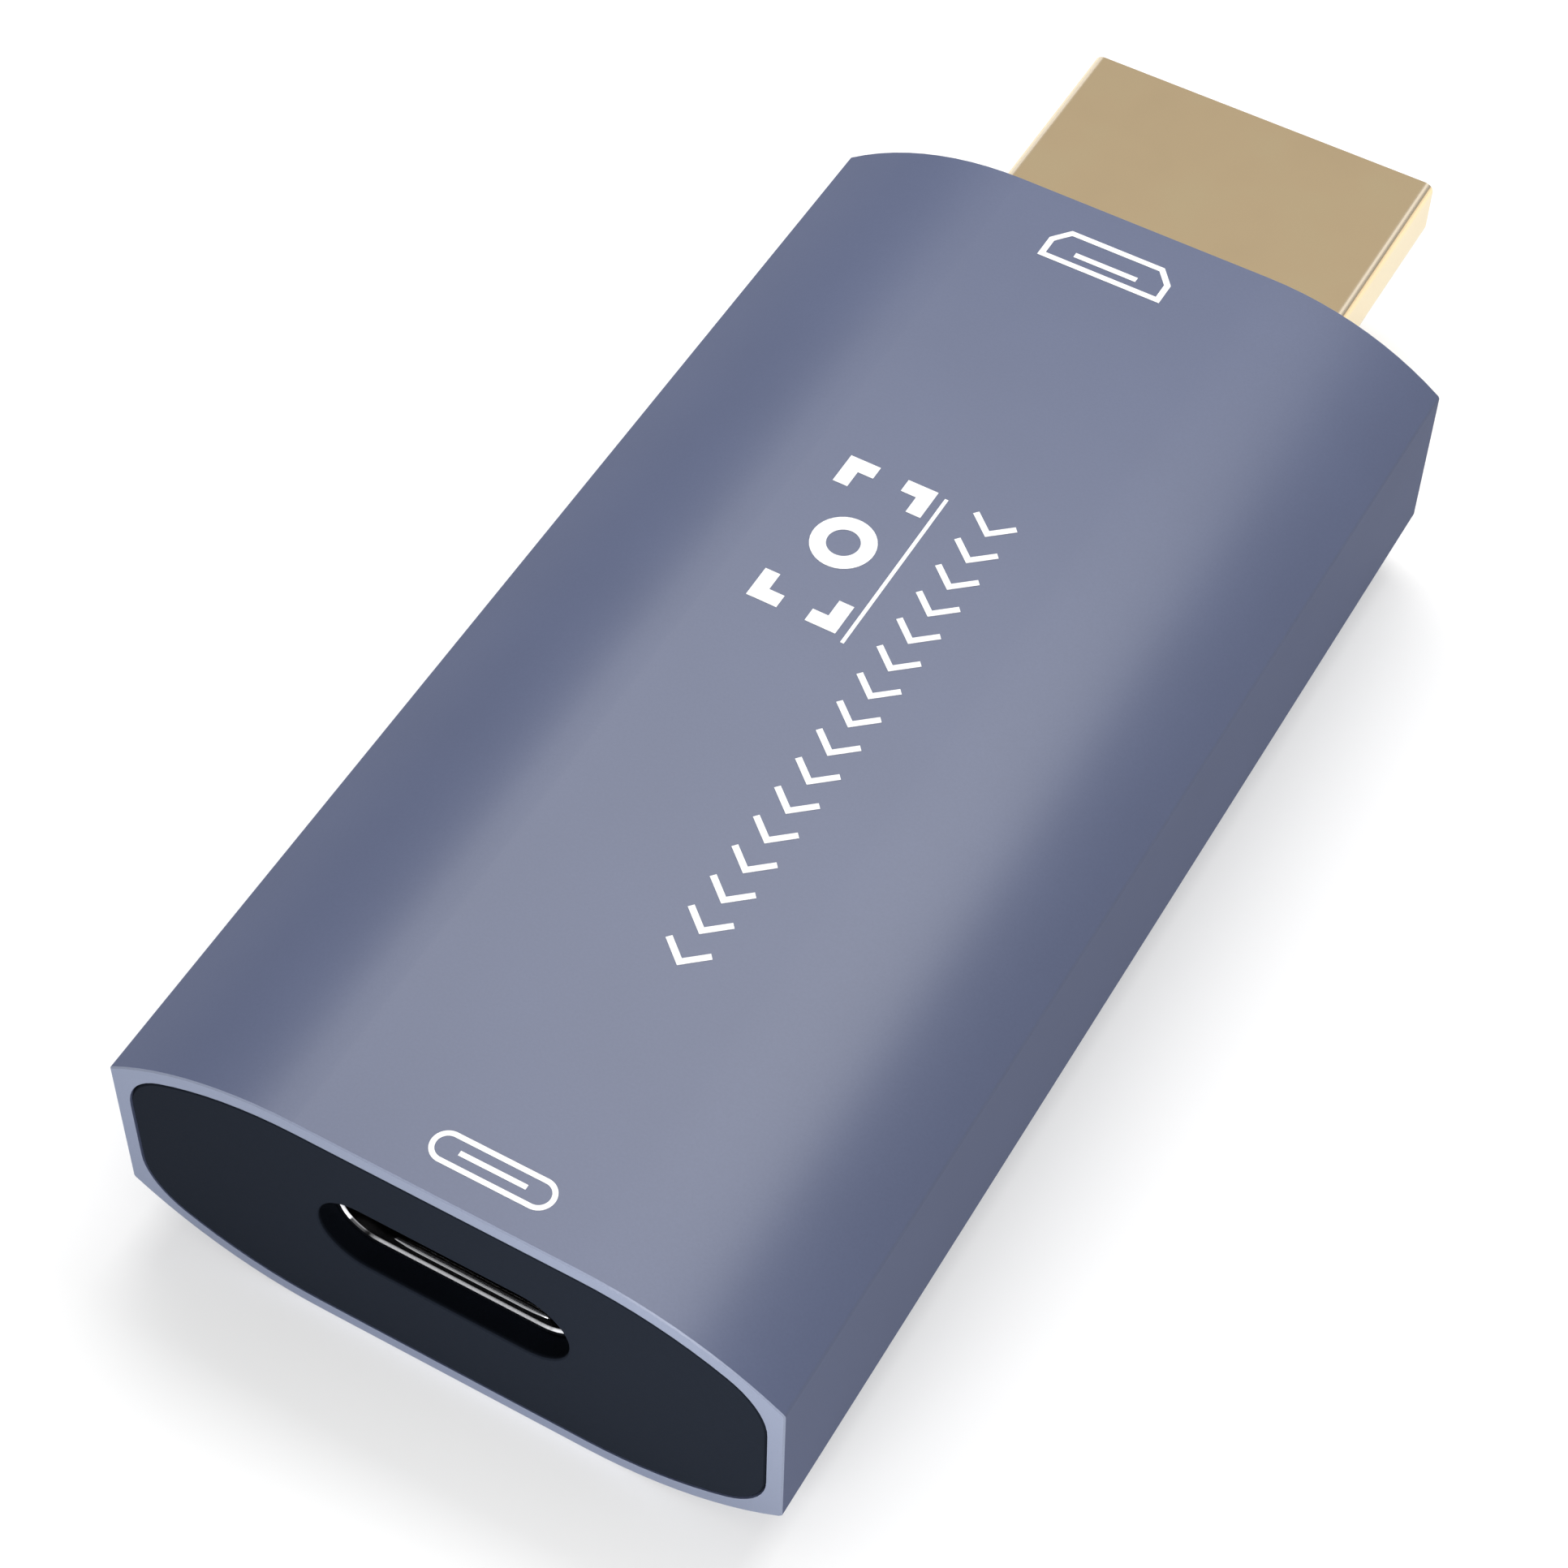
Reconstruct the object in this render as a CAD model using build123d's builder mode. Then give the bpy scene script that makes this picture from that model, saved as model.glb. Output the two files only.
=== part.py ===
from build123d import *
import os
from math import sqrt

os.makedirs("parts", exist_ok=True)

# A video capture stick, in millimetres. X is its width, +Y points to the video plug and
# +Z is up. The origin is in the middle of the stick's length and width, at its underside.

# Housing sleeve: an aluminium extrusion, flat on its crowns and arched down to low flanks
sleeve_length = 45.8
sleeve_width = 23.4
sleeve_height = 10.8
flank_height = 6.15
crown_flat_width = 9.7
sleeve_wall = 0.55
sleeve_edge_radius = 0.2
sleeve_bore_radius = 2.5
sleeve_rim_chamfer = 0.05

# End caps: plastic plugs that fill the sleeve's two ends, flush with its rims
cap_clearance = 0.05
cap_skirt_wall = 0.8
cap_collar_wall = 0.7
cap_rib_thickness = 0.7
cap_edge_chamfer = 0.06
output_plate_thickness = 0.85
output_collar_depth = 1.6
output_cap_depth = 5.0
output_slot_end_cover = 0.045
output_slot_side_gap = 0.045
output_slot_edge_chamfer = 0.05
input_plate_thickness = 1.2
input_collar_depth = 2.2
input_cap_depth = 6.1
input_cap_plug_clearance = 0.06

# Main board, held at its long edges in grooves of the two caps
board_thickness = 1.0
board_side_gap = 1.2
board_corner_radius = 0.5
board_groove_depth = 0.7
board_groove_clearance = 0.08
board_end_gap = 0.15
board_leg_hole_clearance = 0.15

# Video plug: a 19 way plug with its wide side up
plug_reach = 10.7
plug_drop = 0.2
plug_height = 4.45
plug_side_height = 2.3
plug_cheek_width = 1.75
plug_foot_inset = 1.4
plug_foot_height = 0.95
plug_top_radius = 0.35
plug_shoulder_radius = 0.6
plug_foot_radius = 0.45
plug_shell_wall = 0.25
plug_shell_lip_chamfer = 0.08
plug_inside_length = 4.0
plug_fit_clearance = 0.04
plug_seam_gap = 0.06
plug_seam_key_width = 1.6
plug_seam_key_neck = 1.1
plug_seam_key_length = 1.3
plug_detent_width = 2.0
plug_detent_length = 1.5
plug_detent_spacing = 6.2
plug_detent_setback = 4.6
plug_mouth_recess = 0.6
plug_cavity_edge_margin = 0.7
plug_cavity_height = 1.9
plug_cavity_depth = 7.0
plug_cavity_radius = 0.2
plug_fin_height = 1.1
plug_fin_length = 2.4
plug_fin_board_gap = 0.05
plug_post_width = 1.0
plug_post_setback = 1.4
plug_post_length_below_board = 0.25

# Video plug contacts: formed strips, ten above and nine below, half a pitch apart
video_contact_pitch = 1.0
video_upper_ways = 10
video_lower_ways = 9
video_contact_width = 0.45
video_contact_thickness = 0.2
video_contact_roof_gap = 0.25
video_contact_crest_inset = 0.15
video_contact_tip_setback = 0.5
video_contact_crest_setback = 1.35
video_contact_beam_setback = 5.6
video_contact_bend_run = 0.12
video_contact_groove_web = 0.335
video_contact_slot_clearance = 0.02
video_tail_drop_start = 0.25
video_tail_drop_run = 0.5
video_tail_length = 1.6
plug_board_gap = 0.12

# Data socket: a 24 way reversible socket, sunk into a cut-out of the board
socket_wall = 0.3
socket_length = 7.9
socket_rise_above_board = 0.2
socket_lip_chamfer = 0.08
socket_cap_clearance = 0.05
socket_board_clearance = 0.2
socket_fit_clearance = 0.03
socket_tongue_setback = 0.6
socket_tongue_thickness = 0.7
socket_tongue_edge_margin = 0.595
socket_tongue_side_gap = 0.825
socket_tongue_face_gap = 0.93
socket_tongue_edge_chamfer = 0.12
socket_neck_shoulder = 0.305
socket_neck_step = 0.4
socket_neck_length = 1.25
socket_base_length = 1.7
socket_leg_width = 1.1
socket_leg_thickness = 0.3
socket_leg_reach = 0.75
socket_leg_board_gap = 0.05
socket_leg_bend_radius = 0.3
socket_leg_length_below_board = 0.25
socket_front_leg_setback = 3.1
socket_rear_leg_setback = 6.6
socket_ground_plate_thickness = 0.12
socket_ground_plate_inset = 0.35
socket_ground_plate_length = 1.0
socket_mid_plate_thickness = 0.15
socket_mid_plate_inset = 0.395
socket_mid_plate_lug_length = 1.0
socket_mid_plate_lug_setback = 2.6
socket_mid_plate_tip_setback = 0.25
socket_mid_plate_rear_margin = 0.3

# Data socket contacts: two rows of twelve, each moulded flush into a face of the tongue
data_contact_pitch = 0.5
data_contact_ways = 12
data_contact_width = 0.25
data_contact_thickness = 0.15
data_contact_tip_setback = 0.3
data_tail_drop_start = 0.25
data_upper_drop_run = 0.25
data_lower_drop_run = 0.35
data_tail_length = 1.0
socket_tail_gap = 0.9

# Chips and the small parts around them
chip_body_draft = 8
chip_standoff = 0.1
capture_chip_size = 7.0
capture_chip_height = 1.4
capture_side_ways = 12
capture_chip_pitch = 0.5
capture_lead_width = 0.22
capture_lead_thickness = 0.13
capture_lead_length = 1.0
capture_lead_knee = 0.3
pin_one_mark_radius = 0.4
pin_one_mark_depth = 0.06
pin_one_mark_inset = 1.0
memory_chip_length = 4.9
memory_chip_width = 3.9
memory_chip_height = 1.4
memory_side_ways = 4
memory_chip_pitch = 1.27
memory_lead_width = 0.42
memory_lead_thickness = 0.2
memory_lead_length = 1.05
memory_lead_knee = 0.35
regulator_length = 2.9
regulator_width = 1.6
regulator_height = 1.0
regulator_side_ways = 3
regulator_pitch = 0.95
regulator_lead_width = 0.4
regulator_lead_thickness = 0.15
regulator_lead_length = 0.6
regulator_lead_knee = 0.2
crystal_length = 3.2
crystal_width = 2.5
crystal_base_height = 0.45
crystal_lid_height = 0.3
crystal_lid_inset = 0.2
crystal_corner_radius = 0.2
inductor_size = 3.0
inductor_height = 1.5
inductor_flange_height = 0.35
inductor_corner_chamfer = 0.5
inductor_winding_radius = 1.2
inductor_core_radius = 0.7
surge_array_length = 2.5
surge_array_width = 1.0
surge_array_height = 0.5
surge_pad_length = 0.2
surge_pad_width = 0.22
surge_pad_thickness = 0.05
surge_pad_pitch = 0.5
surge_side_ways = 5
bulk_capacitor_length = 3.2
bulk_capacitor_width = 1.6
bulk_capacitor_height = 1.6
ceramic_capacitor_length = 1.6
ceramic_capacitor_width = 0.8
ceramic_capacitor_height = 0.8
resistor_length = 1.6
resistor_width = 0.8
resistor_height = 0.45
ferrite_bead_length = 2.0
ferrite_bead_width = 1.25
ferrite_bead_height = 0.9
chip_end_share = 0.22
chip_end_plating = 0.03

# Where the parts sit: rows from the socket to the plug, each a kind, its quarter turns and
# the shares of the board's half width that its copies are centred on
centre_row_shares = (
    ("ceramic_capacitor", 0, (-0.36, -0.12, 0.12, 0.36)),
    ("capture_chip", 0, (0.0,)),
    ("memory_chip", 0, (0.0,)),
    ("resistor", 0, (-0.40, -0.16, 0.16, 0.40)),
    ("surge_array", 0, (-0.38, 0.0, 0.38)),
)
left_row_shares = (
    ("ferrite_bead", 0, (-0.74,)),
    ("voltage_regulator", 1, (-0.74,)),
    ("voltage_regulator", 1, (-0.74,)),
    ("power_inductor", 0, (-0.74,)),
    ("bulk_capacitor", 1, (-0.74,)),
    ("ceramic_capacitor", 1, (-0.74,)),
    ("ferrite_bead", 0, (-0.74,)),
)
right_row_shares = (
    ("resistor", 1, (0.76,)),
    ("resistor", 1, (0.76,)),
    ("crystal", 1, (0.76,)),
    ("bulk_capacitor", 1, (0.76,)),
    ("bulk_capacitor", 1, (0.76,)),
    ("ceramic_capacitor", 1, (0.76,)),
    ("ferrite_bead", 0, (0.76,)),
)
under_row_shares = (
    ("ceramic_capacitor", 1, (-0.56, 0.0, 0.56)),
    ("resistor", 1, (-0.40, -0.20, 0.20, 0.40)),
)
under_start_share = 0.72

# Cutting tools run past the faces that they cut by this much
overrun = 1.0

# Sizes that follow from others
board_width = sleeve_width - 2 * (sleeve_wall + board_side_gap)
plug_cavity_width = (video_upper_ways - 1) * video_contact_pitch + 2 * plug_cavity_edge_margin
plug_width = plug_cavity_width + 2 * plug_cheek_width
plug_foot_width = plug_width - 2 * plug_foot_inset
plug_insulator_inset = plug_shell_wall + plug_fit_clearance
video_groove_roof = plug_height / 2 - plug_insulator_inset - video_contact_groove_web
video_contact_level = video_groove_roof - video_contact_roof_gap - video_contact_thickness / 2
video_contact_crest_level = plug_cavity_height / 2 - video_contact_crest_inset
socket_tongue_width = (data_contact_ways - 1) * data_contact_pitch + 2 * socket_tongue_edge_margin
socket_width = socket_tongue_width + 2 * (socket_tongue_side_gap + socket_wall)
socket_height = socket_tongue_thickness + 2 * (socket_tongue_face_gap + socket_wall)
socket_neck_width = socket_tongue_width + 2 * socket_neck_shoulder
socket_neck_thickness = socket_tongue_thickness + 2 * socket_neck_step
socket_ground_plate_width = socket_neck_width - 2 * socket_ground_plate_inset
socket_mid_plate_width = socket_tongue_width - 2 * socket_mid_plate_inset
output_slot_width = socket_width - 2 * output_slot_end_cover
output_slot_height = socket_height + 2 * output_slot_side_gap

# Places that follow from the sizes
overall_length = sleeve_length + plug_reach
output_face_y = -overall_length / 2
input_face_y = output_face_y + sleeve_length
plug_tip_y = input_face_y + plug_reach
middle_z = sleeve_height / 2

crown_half_flat = crown_flat_width / 2
crown_run = sleeve_width / 2 - crown_half_flat
crown_drop = (sleeve_height - flank_height) / 2
crown_radius = (crown_run**2 + crown_drop**2) / (2 * crown_drop)
crown_centre_level = sleeve_height / 2 - crown_radius
cap_outline_inset = sleeve_wall + cap_clearance
cap_hollow_inset = cap_outline_inset + cap_skirt_wall
cap_corner_radius = sleeve_bore_radius - cap_clearance
cap_hollow_radius = cap_corner_radius - cap_skirt_wall
cap_hollow_level = sleeve_height / 2 - cap_hollow_inset

socket_front_y = output_face_y + output_plate_thickness
socket_back_y = socket_front_y + socket_length
board_front_y = socket_front_y + output_collar_depth + board_end_gap
plug_back_y = input_face_y - plug_inside_length
board_back_y = plug_back_y - plug_board_gap
board_length = board_back_y - board_front_y
board_middle_y = (board_back_y + board_front_y) / 2
parts_end_y = plug_back_y - video_tail_drop_start - video_tail_drop_run - video_tail_length
plug_z = middle_z - plug_drop
board_top_z = plug_z + board_thickness / 2
board_bottom_z = plug_z - board_thickness / 2
board_notch_end_y = socket_back_y + socket_tail_gap
parts_start_y = board_notch_end_y + data_tail_length
socket_z = board_top_z + socket_rise_above_board


def across(y, z=middle_z):
    """The plane across the stick at y, with local x along X and local y along Z."""
    return Plane(origin=(0, y, z), x_dir=(1, 0, 0), z_dir=(0, -1, 0))


def sleeve_section(inset, corner_radius):
    """The sleeve's outline moved inwards by inset, as a face about its own centre."""
    half_width = sleeve_width / 2 - inset
    crown_level = sleeve_height / 2 - inset
    arc_radius = crown_radius - inset
    corner_level = crown_centre_level + sqrt(arc_radius**2 - (half_width - crown_half_flat) ** 2)
    with BuildSketch() as section:
        with BuildLine():
            crown = Line((0, crown_level), (crown_half_flat, crown_level))
            slope = TangentArc((crown_half_flat, crown_level), (half_width, corner_level), tangent=(1, 0))
            mirror([crown, slope], about=Plane.XZ)
            Line((half_width, corner_level), (half_width, -corner_level))
            mirror(about=Plane.YZ)
        make_face()
        columns = section.vertices().group_by(Axis.X)
        fillet(columns[0] + columns[-1], radius=corner_radius)
    return section.sketch


def plug_section(inset):
    """The video plug's outline moved inwards by inset: wide above, stepped in below."""
    half_height = plug_height / 2
    shoulder_level = half_height - plug_side_height
    foot_level = plug_foot_height - half_height
    with BuildSketch() as section:
        with BuildLine():
            FilletPolyline(
                (0, half_height),
                (plug_width / 2, half_height),
                (plug_width / 2, shoulder_level),
                (plug_foot_width / 2, foot_level),
                (plug_foot_width / 2, -half_height),
                (0, -half_height),
                radius=[plug_top_radius, plug_shoulder_radius, plug_shoulder_radius, plug_foot_radius],
            )
            mirror(about=Plane.YZ)
        make_face()
        if inset:
            offset(amount=-inset, mode=Mode.REPLACE)
    return section.sketch


def eased(points, bend_run):
    """The same path with a short straight run across each of its bends."""
    path = [Vector(*point) for point in points]
    corners = [path[0]]
    for before, corner, after in zip(path, path[1:], path[2:]):
        corners.append(corner + (before - corner).normalized() * bend_run)
        corners.append(corner + (after - corner).normalized() * bend_run)
    corners.append(path[-1])
    return corners


def bent_strip(points, width, thickness):
    """A flat strip bent along points of the YZ plane, centred on x = 0."""
    with BuildPart() as strip:
        with BuildSketch(Plane.YZ.offset(-width / 2)):
            with BuildLine():
                Polyline(*points)
            trace(line_width=thickness)
        extrude(amount=width)
    return strip.part


def columns_of(ways, pitch):
    """Evenly spaced x places about zero."""
    return [(way - (ways - 1) / 2) * pitch for way in range(ways)]


def on_board(x_share, y, quarter_turns, above=True):
    """A place on the board's upper or lower face, at a share of its half width."""
    turned = Plane.XY.rotated((0, 0, 90 * quarter_turns))
    return Location(
        Plane(
            origin=(x_share * board_width / 2, y, board_top_z if above else board_bottom_z),
            x_dir=turned.x_dir,
            z_dir=(0, 0, 1) if above else (0, 0, -1),
        )
    )


def spread(start, end, lengths):
    """The middles of things of these lengths, set out from start to end with even gaps."""
    gap = (end - start - sum(lengths)) / (len(lengths) + 1)
    middles = []
    for length in lengths:
        middles.append(start + gap + length / 2)
        start += gap + length
    return middles


def finish(part, name):
    """Name a finished piece and write it."""
    part.label = name
    export_step(part, f"parts/{name}.step")


# Housing sleeve
with BuildPart() as housing_sleeve:
    with BuildSketch(across(output_face_y)):
        add(sleeve_section(0, sleeve_edge_radius))
        add(sleeve_section(sleeve_wall, sleeve_bore_radius), mode=Mode.SUBTRACT)
    extrude(amount=-sleeve_length)
    rims = housing_sleeve.faces().filter_by(Axis.Y)
    chamfer([edge for rim in rims for edge in rim.outer_wire().edges()], length=sleeve_rim_chamfer)
finish(housing_sleeve.part, "housing_sleeve")


def hollow_section():
    """The space inside a cap's skirt: as wide as leaves cheeks deep enough for the grooves."""
    with BuildSketch() as section:
        add(sleeve_section(cap_hollow_inset, cap_hollow_radius))
        Rectangle(board_width - 2 * board_groove_depth, sleeve_height, mode=Mode.INTERSECT)
    return section.sketch


# Output end cap: a plate with the data socket's slot, a collar for the socket and a skirt
with BuildPart() as output_end_cap:
    with BuildSketch(across(output_face_y)):
        add(sleeve_section(cap_outline_inset, cap_corner_radius))
    extrude(amount=-output_cap_depth)
    with BuildSketch(across(socket_front_y)):
        add(hollow_section())
    extrude(amount=-(output_cap_depth + overrun), mode=Mode.SUBTRACT)
    with BuildSketch(across(socket_front_y, socket_z)):
        SlotOverall(
            socket_width + 2 * (socket_cap_clearance + cap_collar_wall),
            socket_height + 2 * (socket_cap_clearance + cap_collar_wall),
        )
    extrude(amount=-output_collar_depth)
    for side in (-1, 1):
        with BuildSketch(across(socket_front_y)):
            with Locations((side * (socket_width - socket_height) / 2, 0)):
                Rectangle(cap_rib_thickness, 2 * cap_hollow_level + cap_skirt_wall)
        extrude(amount=-output_collar_depth)
    with BuildSketch(across(socket_front_y, socket_z)):
        SlotOverall(
            socket_width + 2 * socket_cap_clearance,
            socket_height + 2 * socket_cap_clearance,
        )
    extrude(amount=-(output_cap_depth + overrun), mode=Mode.SUBTRACT)
    with BuildSketch(across(board_front_y - board_end_gap, plug_z)):
        Rectangle(
            board_width + 2 * board_groove_clearance,
            board_thickness + 2 * board_groove_clearance,
        )
    extrude(amount=-(output_cap_depth + overrun), mode=Mode.SUBTRACT)
    with BuildSketch(across(output_face_y, socket_z)):
        SlotOverall(output_slot_width, output_slot_height)
    extrude(amount=-output_plate_thickness, mode=Mode.SUBTRACT)
    front = output_end_cap.faces().sort_by(Axis.Y)[0]
    chamfer(front.inner_wires()[0].edges(), length=output_slot_edge_chamfer)
    front = output_end_cap.faces().sort_by(Axis.Y)[0]
    chamfer(front.outer_wire().edges(), length=cap_edge_chamfer)
finish(output_end_cap.part, "output_end_cap")

# Input end cap: the same plug of plastic with an opening and collar for the video plug
with BuildPart() as input_end_cap:
    with BuildSketch(across(input_face_y)):
        add(sleeve_section(cap_outline_inset, cap_corner_radius))
    extrude(amount=input_cap_depth)
    with BuildSketch(across(input_face_y - input_plate_thickness)):
        add(hollow_section())
    extrude(amount=input_cap_depth + overrun, mode=Mode.SUBTRACT)
    with BuildSketch(across(input_face_y - input_plate_thickness, plug_z)):
        RectangleRounded(
            plug_width + 2 * (input_cap_plug_clearance + cap_collar_wall),
            plug_height + 2 * (input_cap_plug_clearance + cap_collar_wall),
            cap_collar_wall,
        )
    extrude(amount=input_collar_depth)
    for side in (-1, 1):
        with BuildSketch(across(input_face_y - input_plate_thickness)):
            with Locations((side * plug_detent_spacing / 2, 0)):
                Rectangle(cap_rib_thickness, 2 * cap_hollow_level + cap_skirt_wall)
        extrude(amount=input_collar_depth)
    with BuildSketch(across(input_face_y + overrun, plug_z)):
        add(plug_section(0))
        offset(amount=input_cap_plug_clearance, mode=Mode.REPLACE)
    extrude(amount=input_cap_depth + 2 * overrun, mode=Mode.SUBTRACT)
    with BuildSketch(across(board_back_y + board_end_gap, plug_z)):
        Rectangle(
            board_width + 2 * board_groove_clearance,
            board_thickness + 2 * board_groove_clearance,
        )
    extrude(amount=input_cap_depth + overrun, mode=Mode.SUBTRACT)
    back = input_end_cap.faces().sort_by(Axis.Y)[-1]
    chamfer(back.outer_wire().edges(), length=cap_edge_chamfer)
finish(input_end_cap.part, "input_end_cap")

# Video plug contacts: a tip in its groove, a crest in the cavity, a beam and a solder tail
plug_mouth_y = plug_tip_y - plug_mouth_recess
video_tail_level = board_thickness / 2 + video_contact_thickness / 2
video_contact_path = [
    (plug_mouth_y - video_contact_tip_setback, video_contact_level),
    (plug_mouth_y - video_contact_crest_setback, video_contact_crest_level),
    (plug_mouth_y - video_contact_beam_setback, video_contact_level),
    (plug_back_y - video_tail_drop_start, video_contact_level),
    (plug_back_y - video_tail_drop_start - video_tail_drop_run, video_tail_level),
    (parts_end_y, video_tail_level),
]
video_contact = bent_strip(
    eased(video_contact_path, video_contact_bend_run), video_contact_width, video_contact_thickness
)
video_upper_columns = columns_of(video_upper_ways, video_contact_pitch)
video_lower_columns = columns_of(video_lower_ways, video_contact_pitch)

with BuildPart() as video_plug_contacts_upper:
    with Locations(*[(x, 0, plug_z) for x in video_upper_columns]):
        add(video_contact)
finish(video_plug_contacts_upper.part, "video_plug_contacts_upper")

with BuildPart() as video_plug_contacts_lower:
    with Locations(*[(x, 0, plug_z) for x in video_lower_columns]):
        add(mirror(video_contact, about=Plane.XY, mode=Mode.PRIVATE))
finish(video_plug_contacts_lower.part, "video_plug_contacts_lower")

# Video plug insulator: a moulding with a cavity, a groove and a slot for each contact
plug_cavity_end_y = plug_mouth_y - plug_cavity_depth
groove_width = video_contact_width + 2 * video_contact_slot_clearance
slot_height = video_contact_thickness + 2 * video_contact_slot_clearance
with BuildPart() as video_plug_insulator:
    with BuildSketch(across(plug_mouth_y, plug_z)):
        add(plug_section(plug_insulator_inset))
    extrude(amount=plug_mouth_y - plug_back_y)
    with BuildSketch(across(plug_mouth_y, plug_z)):
        RectangleRounded(plug_cavity_width, plug_cavity_height, plug_cavity_radius)
    extrude(amount=plug_cavity_depth, mode=Mode.SUBTRACT)
    for columns, side in ((video_upper_columns, 1), (video_lower_columns, -1)):
        with BuildSketch(across(plug_mouth_y, plug_z)):
            with Locations(*[(x, side * video_groove_roof / 2) for x in columns]):
                Rectangle(groove_width, video_groove_roof)
        extrude(amount=plug_cavity_depth, mode=Mode.SUBTRACT)
        with BuildSketch(across(plug_cavity_end_y + overrun, plug_z)):
            with Locations(*[(x, side * video_contact_level) for x in columns]):
                Rectangle(groove_width, slot_height)
        extrude(amount=plug_cavity_end_y - plug_back_y + 2 * overrun, mode=Mode.SUBTRACT)
finish(video_plug_insulator.part, "video_plug_insulator")

# Video plug shell: folded sheet with a keyed seam and two detent holes underneath
plug_shell_length = plug_tip_y - plug_back_y
plug_fin_middle_x = (plug_width - plug_shell_wall) / 2
plug_fin_foot_z = board_top_z + plug_fin_board_gap
plug_post_y = plug_back_y - plug_post_setback
plug_post_foot_z = board_bottom_z - plug_post_length_below_board
plug_seam_key_y = input_face_y + plug_seam_key_length
with BuildPart() as video_plug_shell:
    with BuildSketch(across(plug_tip_y, plug_z)):
        add(plug_section(0))
        add(plug_section(plug_shell_wall), mode=Mode.SUBTRACT)
    extrude(amount=plug_shell_length)
    mouth = video_plug_shell.faces().sort_by(Axis.Y)[-1]
    chamfer(mouth.outer_wire().edges(), length=plug_shell_lip_chamfer)
    with BuildSketch(Plane.XY.offset(plug_z - plug_height / 2 - overrun)):
        with BuildLine():
            Polyline(
                (0, plug_tip_y + overrun),
                (0, plug_seam_key_y + plug_seam_key_length),
                (plug_seam_key_width / 2, plug_seam_key_y + plug_seam_key_length),
                (plug_seam_key_neck / 2, plug_seam_key_y),
                (0, plug_seam_key_y),
                (0, plug_back_y - overrun),
            )
        trace(line_width=plug_seam_gap)
    extrude(amount=overrun + plug_height / 2, mode=Mode.SUBTRACT)
    with BuildSketch(Plane.XY.offset(plug_z - plug_height / 2 - overrun)):
        with Locations((0, plug_tip_y - plug_detent_setback)):
            with GridLocations(plug_detent_spacing, 0, 2, 1):
                Rectangle(plug_detent_width, plug_detent_length)
    extrude(amount=overrun + plug_shell_wall, mode=Mode.SUBTRACT)
    for side in (-1, 1):
        with BuildSketch(Plane.YZ.offset(side * plug_fin_middle_x)):
            with Locations((plug_back_y - plug_fin_length, plug_fin_foot_z)):
                Rectangle(2 * plug_fin_length, plug_fin_height, align=(Align.MIN, Align.MIN))
            with Locations((plug_post_y, plug_post_foot_z)):
                Rectangle(
                    plug_post_width,
                    plug_fin_foot_z + plug_fin_height - plug_post_foot_z,
                    align=(Align.CENTER, Align.MIN),
                )
        extrude(amount=plug_shell_wall / 2, both=True)
finish(video_plug_shell.part, "video_plug_shell")

# Data socket contacts
socket_tongue_tip_y = socket_front_y + socket_tongue_setback
socket_base_y = socket_back_y - socket_base_length
socket_neck_y = socket_base_y - socket_neck_length
data_contact_level = (socket_tongue_thickness - data_contact_thickness) / 2
data_upper_tail_level = data_contact_thickness / 2 - socket_rise_above_board
data_lower_tail_level = -socket_rise_above_board - board_thickness - data_contact_thickness / 2
data_drop_y = socket_back_y + data_tail_drop_start
data_columns = columns_of(data_contact_ways, data_contact_pitch)
upper_data_contact = bent_strip(
    [
        (socket_tongue_tip_y + data_contact_tip_setback, data_contact_level),
        (data_drop_y, data_contact_level),
        (data_drop_y + data_upper_drop_run, data_upper_tail_level),
        (parts_start_y, data_upper_tail_level),
    ],
    data_contact_width, data_contact_thickness,
)
lower_data_contact = bent_strip(
    [
        (socket_tongue_tip_y + data_contact_tip_setback, -data_contact_level),
        (data_drop_y, -data_contact_level),
        (data_drop_y + data_lower_drop_run, data_lower_tail_level),
        (parts_start_y, data_lower_tail_level),
    ],
    data_contact_width, data_contact_thickness,
)

with BuildPart() as data_socket_contacts_upper:
    with Locations(*[(x, 0, socket_z) for x in data_columns]):
        add(upper_data_contact)
finish(data_socket_contacts_upper.part, "data_socket_contacts_upper")

with BuildPart() as data_socket_contacts_lower:
    with Locations(*[(x, 0, socket_z) for x in data_columns]):
        add(lower_data_contact)
finish(data_socket_contacts_lower.part, "data_socket_contacts_lower")

# Data socket mid plate: a steel sheet inside the tongue with a latching lug on each side
mid_plate_front_y = socket_tongue_tip_y + socket_mid_plate_tip_setback
mid_plate_back_y = socket_back_y - socket_mid_plate_rear_margin
with BuildPart() as data_socket_mid_plate:
    with BuildSketch(Plane.XY.offset(socket_z - socket_mid_plate_thickness / 2)):
        with Locations((0, (mid_plate_front_y + mid_plate_back_y) / 2)):
            Rectangle(socket_mid_plate_width, mid_plate_back_y - mid_plate_front_y)
        with Locations((0, socket_tongue_tip_y + socket_mid_plate_lug_setback)):
            Rectangle(socket_tongue_width, socket_mid_plate_lug_length)
    extrude(amount=socket_mid_plate_thickness)
finish(data_socket_mid_plate.part, "data_socket_mid_plate")

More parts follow.
